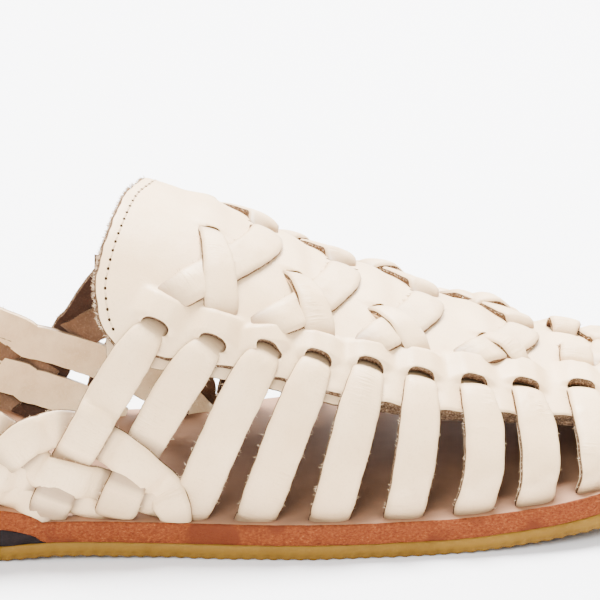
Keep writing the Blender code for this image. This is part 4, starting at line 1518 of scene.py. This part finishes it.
def lining(side, word):
    shares = np.linspace(LINING_ROWS[0][0], LINING_ROWS[-1][0], LINING_STEPS)
    xs = x_at(shares)
    edge = table(EDGE, 1, shares)
    rough_cut = ripples(xs, (5 * MM, 2.3 * MM, 11 * MM), 0.22 * MM, chance)
    reach_out = table(LINING_ROWS, 1, shares) * MM + rough_cut
    _, _, over, _ = frames(last, xs, side * edge)
    per_metre = 1 / np.linalg.norm(over, axis=-1)
    ring = []
    for outward, level in LINING_RING:
        move = reach_out if outward is None else np.full_like(xs, outward)
        point, _, _, normal = frames(last, xs, side * (edge + move * per_metre))
        ring.append(point + normal * level)
    points = np.stack(ring, 1).reshape(-1, 3)
    faces = tube_faces(len(xs), len(ring))
    kinds = []
    for share in shares[:-1]:
        face_side = GRAIN if share < PALE_UNTIL else CUT
        kinds += [face_side, face_side, CUT, FLESH, FLESH]
    shade = np.tile(LINING_SHADE, len(xs))
    kinds += [CUT, CUT]
    return make_piece("vamp_lining_" + word, points, faces, UPPER_FINISHES, kinds, "cream_leather", shade, 40)


lining(-1, "outer")
lining(1, "inner")
print("lining shows", LINING_ROWS[0][1], "mm at the heel end")

# %% [markdown]
# One row of stitches follows the throat. The awl leaves small holes 2.4 mm apart, drawn as flat near-black
# discs as painted shade of their insides, and the cream thread lies between them, pulled down into the
# leather.
# Each place is found on the finished panel by a ray.

# %% Throat stitches
STITCH = 2.4 * MM
STITCH_INSET = 2.7 * MM
THREAD, HOLE = 0.22 * MM, 0.44 * MM      # radii
THREAD_SIDES, HOLE_SIDES = 6, 10
# rings of a stitch: share of the way to the next hole, thickness as a share, height in millimetres
STITCH_RINGS = (
    (0.16, 0.4, -0.04), (0.32, 0.95, 0.04), (0.5, 1.0, 0.07), (0.68, 0.95, 0.04), (0.84, 0.4, -0.04),
)
RAY_FROM = 9 * MM                        # height over the last from which the panel is looked for


def make_thread():
    look = Finish("waxed_thread", 0.6, Specular_IOR_Level=0.2)
    twist = look.noise(0.3 * MM, 2)
    look.colour(look.ramp(twist, (0.3, (0.50, 0.34, 0.19)), (0.7, (0.74, 0.54, 0.33))))
    look.bump(twist, 0.1 * MM, 0.6)
    return look.material


def make_hole():
    look = Finish("awl_hole_painted_shade", 0.95, Specular_IOR_Level=0.0)
    # painted shade: a hole is a flat near-black disc, standing in for the shade inside it
    look.colour(look.ramp(look.noise(0.4 * MM, 2), (0.3, (0.012, 0.007, 0.004)), (0.7, (0.05, 0.03, 0.017))))
    return look.material


def on_panel(tree, point, normal):
    """The panel's top surface above a point of the last, and its normal there."""
    start = Vector(point + normal * RAY_FROM)
    hit, facing, _, _ = tree.ray_cast(start, Vector(-normal))
    return (np.array(hit), np.array(facing)) if hit else (point + normal * PANEL, normal)


def throat_places(tree):
    v = np.linspace(-0.94, 0.94, 600)
    share = throat_at(v) + STITCH_INSET / LENGTH
    point, _, _, normal = frames(last, x_at(share), v * table(EDGE, 1, share))
    run = run_along(point)
    picked = np.searchsorted(run, np.arange(STITCH / 2, run[-1], STITCH))
    return [on_panel(tree, point[i], normal[i]) for i in picked]


def throat_stitches():
    tree = BVHTree.FromObject(panel, bpy.context.evaluated_depsgraph_get())
    places = throat_places(tree)
    points, faces, kinds = [], [], []
    for (here, up), (following, _) in zip(places, places[1:]):
        ahead = unit(following - here)
        sideways = np.cross(up, ahead)
        first = len(points)
        for k in range(HOLE_SIDES):
            angle = 2 * math.pi * k / HOLE_SIDES
            points.append(here + ahead * HOLE * math.cos(angle) + sideways * HOLE * 0.8 * math.sin(angle)
                          + up * 0.03 * MM)
        points.append(here + up * 0.05 * MM)
        for k in range(HOLE_SIDES):
            faces.append((first + k, first + (k + 1) % HOLE_SIDES, first + HOLE_SIDES))
            kinds.append(1)
        first = len(points)
        for u, wide, high in STITCH_RINGS:
            middle = between(here, following, u) + up * high * MM
            for k in range(THREAD_SIDES):
                angle = 2 * math.pi * k / THREAD_SIDES
                points.append(middle + sideways * THREAD * wide * math.cos(angle)
                              + up * THREAD * 0.7 * wide * math.sin(angle))
        made = tube_faces(len(STITCH_RINGS), THREAD_SIDES, first)
        faces += made
        kinds += [0] * len(made)
    finishes = [make_thread(), make_hole()]
    make_piece("throat_stitches", points, faces, finishes, kinds, "cream_leather", None, 50)
    return len(places) - 1


print(throat_stitches(), "stitches round the throat")

# %% [markdown]
# Cut leather frays. Along the strips' edges and the throat stand short pale fibres, in tufts here and there.
# Each is a thin tapered spike with three sides, bent outward at random.

# %% Frayed fibres
FIBRE_LENGTH, FIBRE_WIDTH = (0.35 * MM, 1.15 * MM), 0.16 * MM
FIBRES_PER_METRE = 1900
THROAT_FIBRES = 900
FIBRE_CORNERS = (0.0, 2.1, 4.2)      # angles of its three sides
BEND_AT = 0.55                       # share of its length at which it bends
DARK_ENDS = 0.3                      # no fibres where a strip is shaded more than this


def make_fibre():
    look = Finish("leather_fibre", 0.9, Specular_IOR_Level=0.05)
    look.colour(look.ramp(look.noise(1.5 * MM, 3), (0.3, (0.42, 0.28, 0.165)), (0.7, (0.80, 0.60, 0.39))))
    return look.material


def add_fibre(points, faces, root, way, length, width):
    side = unit(np.cross(way, [0.3, 0.2, 1.0]))
    up = np.cross(side, way)
    bend = up * length * chance.uniform(-0.25, 0.25)
    first = len(points)
    rays = [side * math.cos(angle) + up * math.sin(angle) for angle in FIBRE_CORNERS]
    for ray in rays:
        points.append(root + ray * width / 2)
    for ray in rays:
        points.append(root + way * length * BEND_AT + bend + ray * width * 0.3)
    points.append(root + way * length)
    for k in range(3):
        m = (k + 1) % 3
        faces.append((first + k, first + m, first + 3 + m, first + 3 + k))
        faces.append((first + 3 + k, first + 3 + m, first + 6))
    faces.append((first + 2, first + 1, first))


def frayed_fibres():
    points, faces = [], []
    for edge, outward, shade in frayed:
        run = run_along(edge)
        tufts = ripples(run, (7 * MM, 3.1 * MM, 1.4 * MM), 1.0, chance)
        for _ in range(int(run[-1] * FIBRES_PER_METRE)):
            at = chance.uniform(0, run[-1])
            i = int(np.searchsorted(run, at)) - 1
            if shade[i] > DARK_ENDS or tufts[i] < chance.uniform(-0.5, 0.9):
                continue
            u = (at - run[i]) / (run[i + 1] - run[i])
            root = between(edge[i], edge[i + 1], u)
            forward = unit(edge[i + 1] - edge[i])
            way = unit(outward[i] + forward * chance.uniform(-0.9, 0.9) + chance.normal(0, 0.35, 3))
            add_fibre(points, faces, root - way * 0.1 * MM, way, chance.uniform(*FIBRE_LENGTH), FIBRE_WIDTH)
    v = np.linspace(-0.97, 0.97, 500)
    start = throat_at(v)
    rim, along, _, normal = frames(last, x_at(start), v * table(EDGE, 1, start))
    for _ in range(THROAT_FIBRES):
        i = int(chance.integers(0, len(v)))
        way = unit(-unit(along[i]) + chance.normal(0, 0.45, 3) + normal[i] * chance.uniform(-0.2, 0.6))
        root = rim[i] + normal[i] * PANEL * chance.uniform(0.1, 0.85) + unit(along[i]) * 0.25 * MM
        add_fibre(points, faces, root, way, chance.uniform(0.4, 1.0) * FIBRE_LENGTH[1], FIBRE_WIDTH * 1.3)
    return make_piece("frayed_fibres", points, faces, [make_fibre()], None, "cream_leather", None, 60)


fibres = frayed_fibres()
print("fibres", len(fibres.data.polygons), "faces")
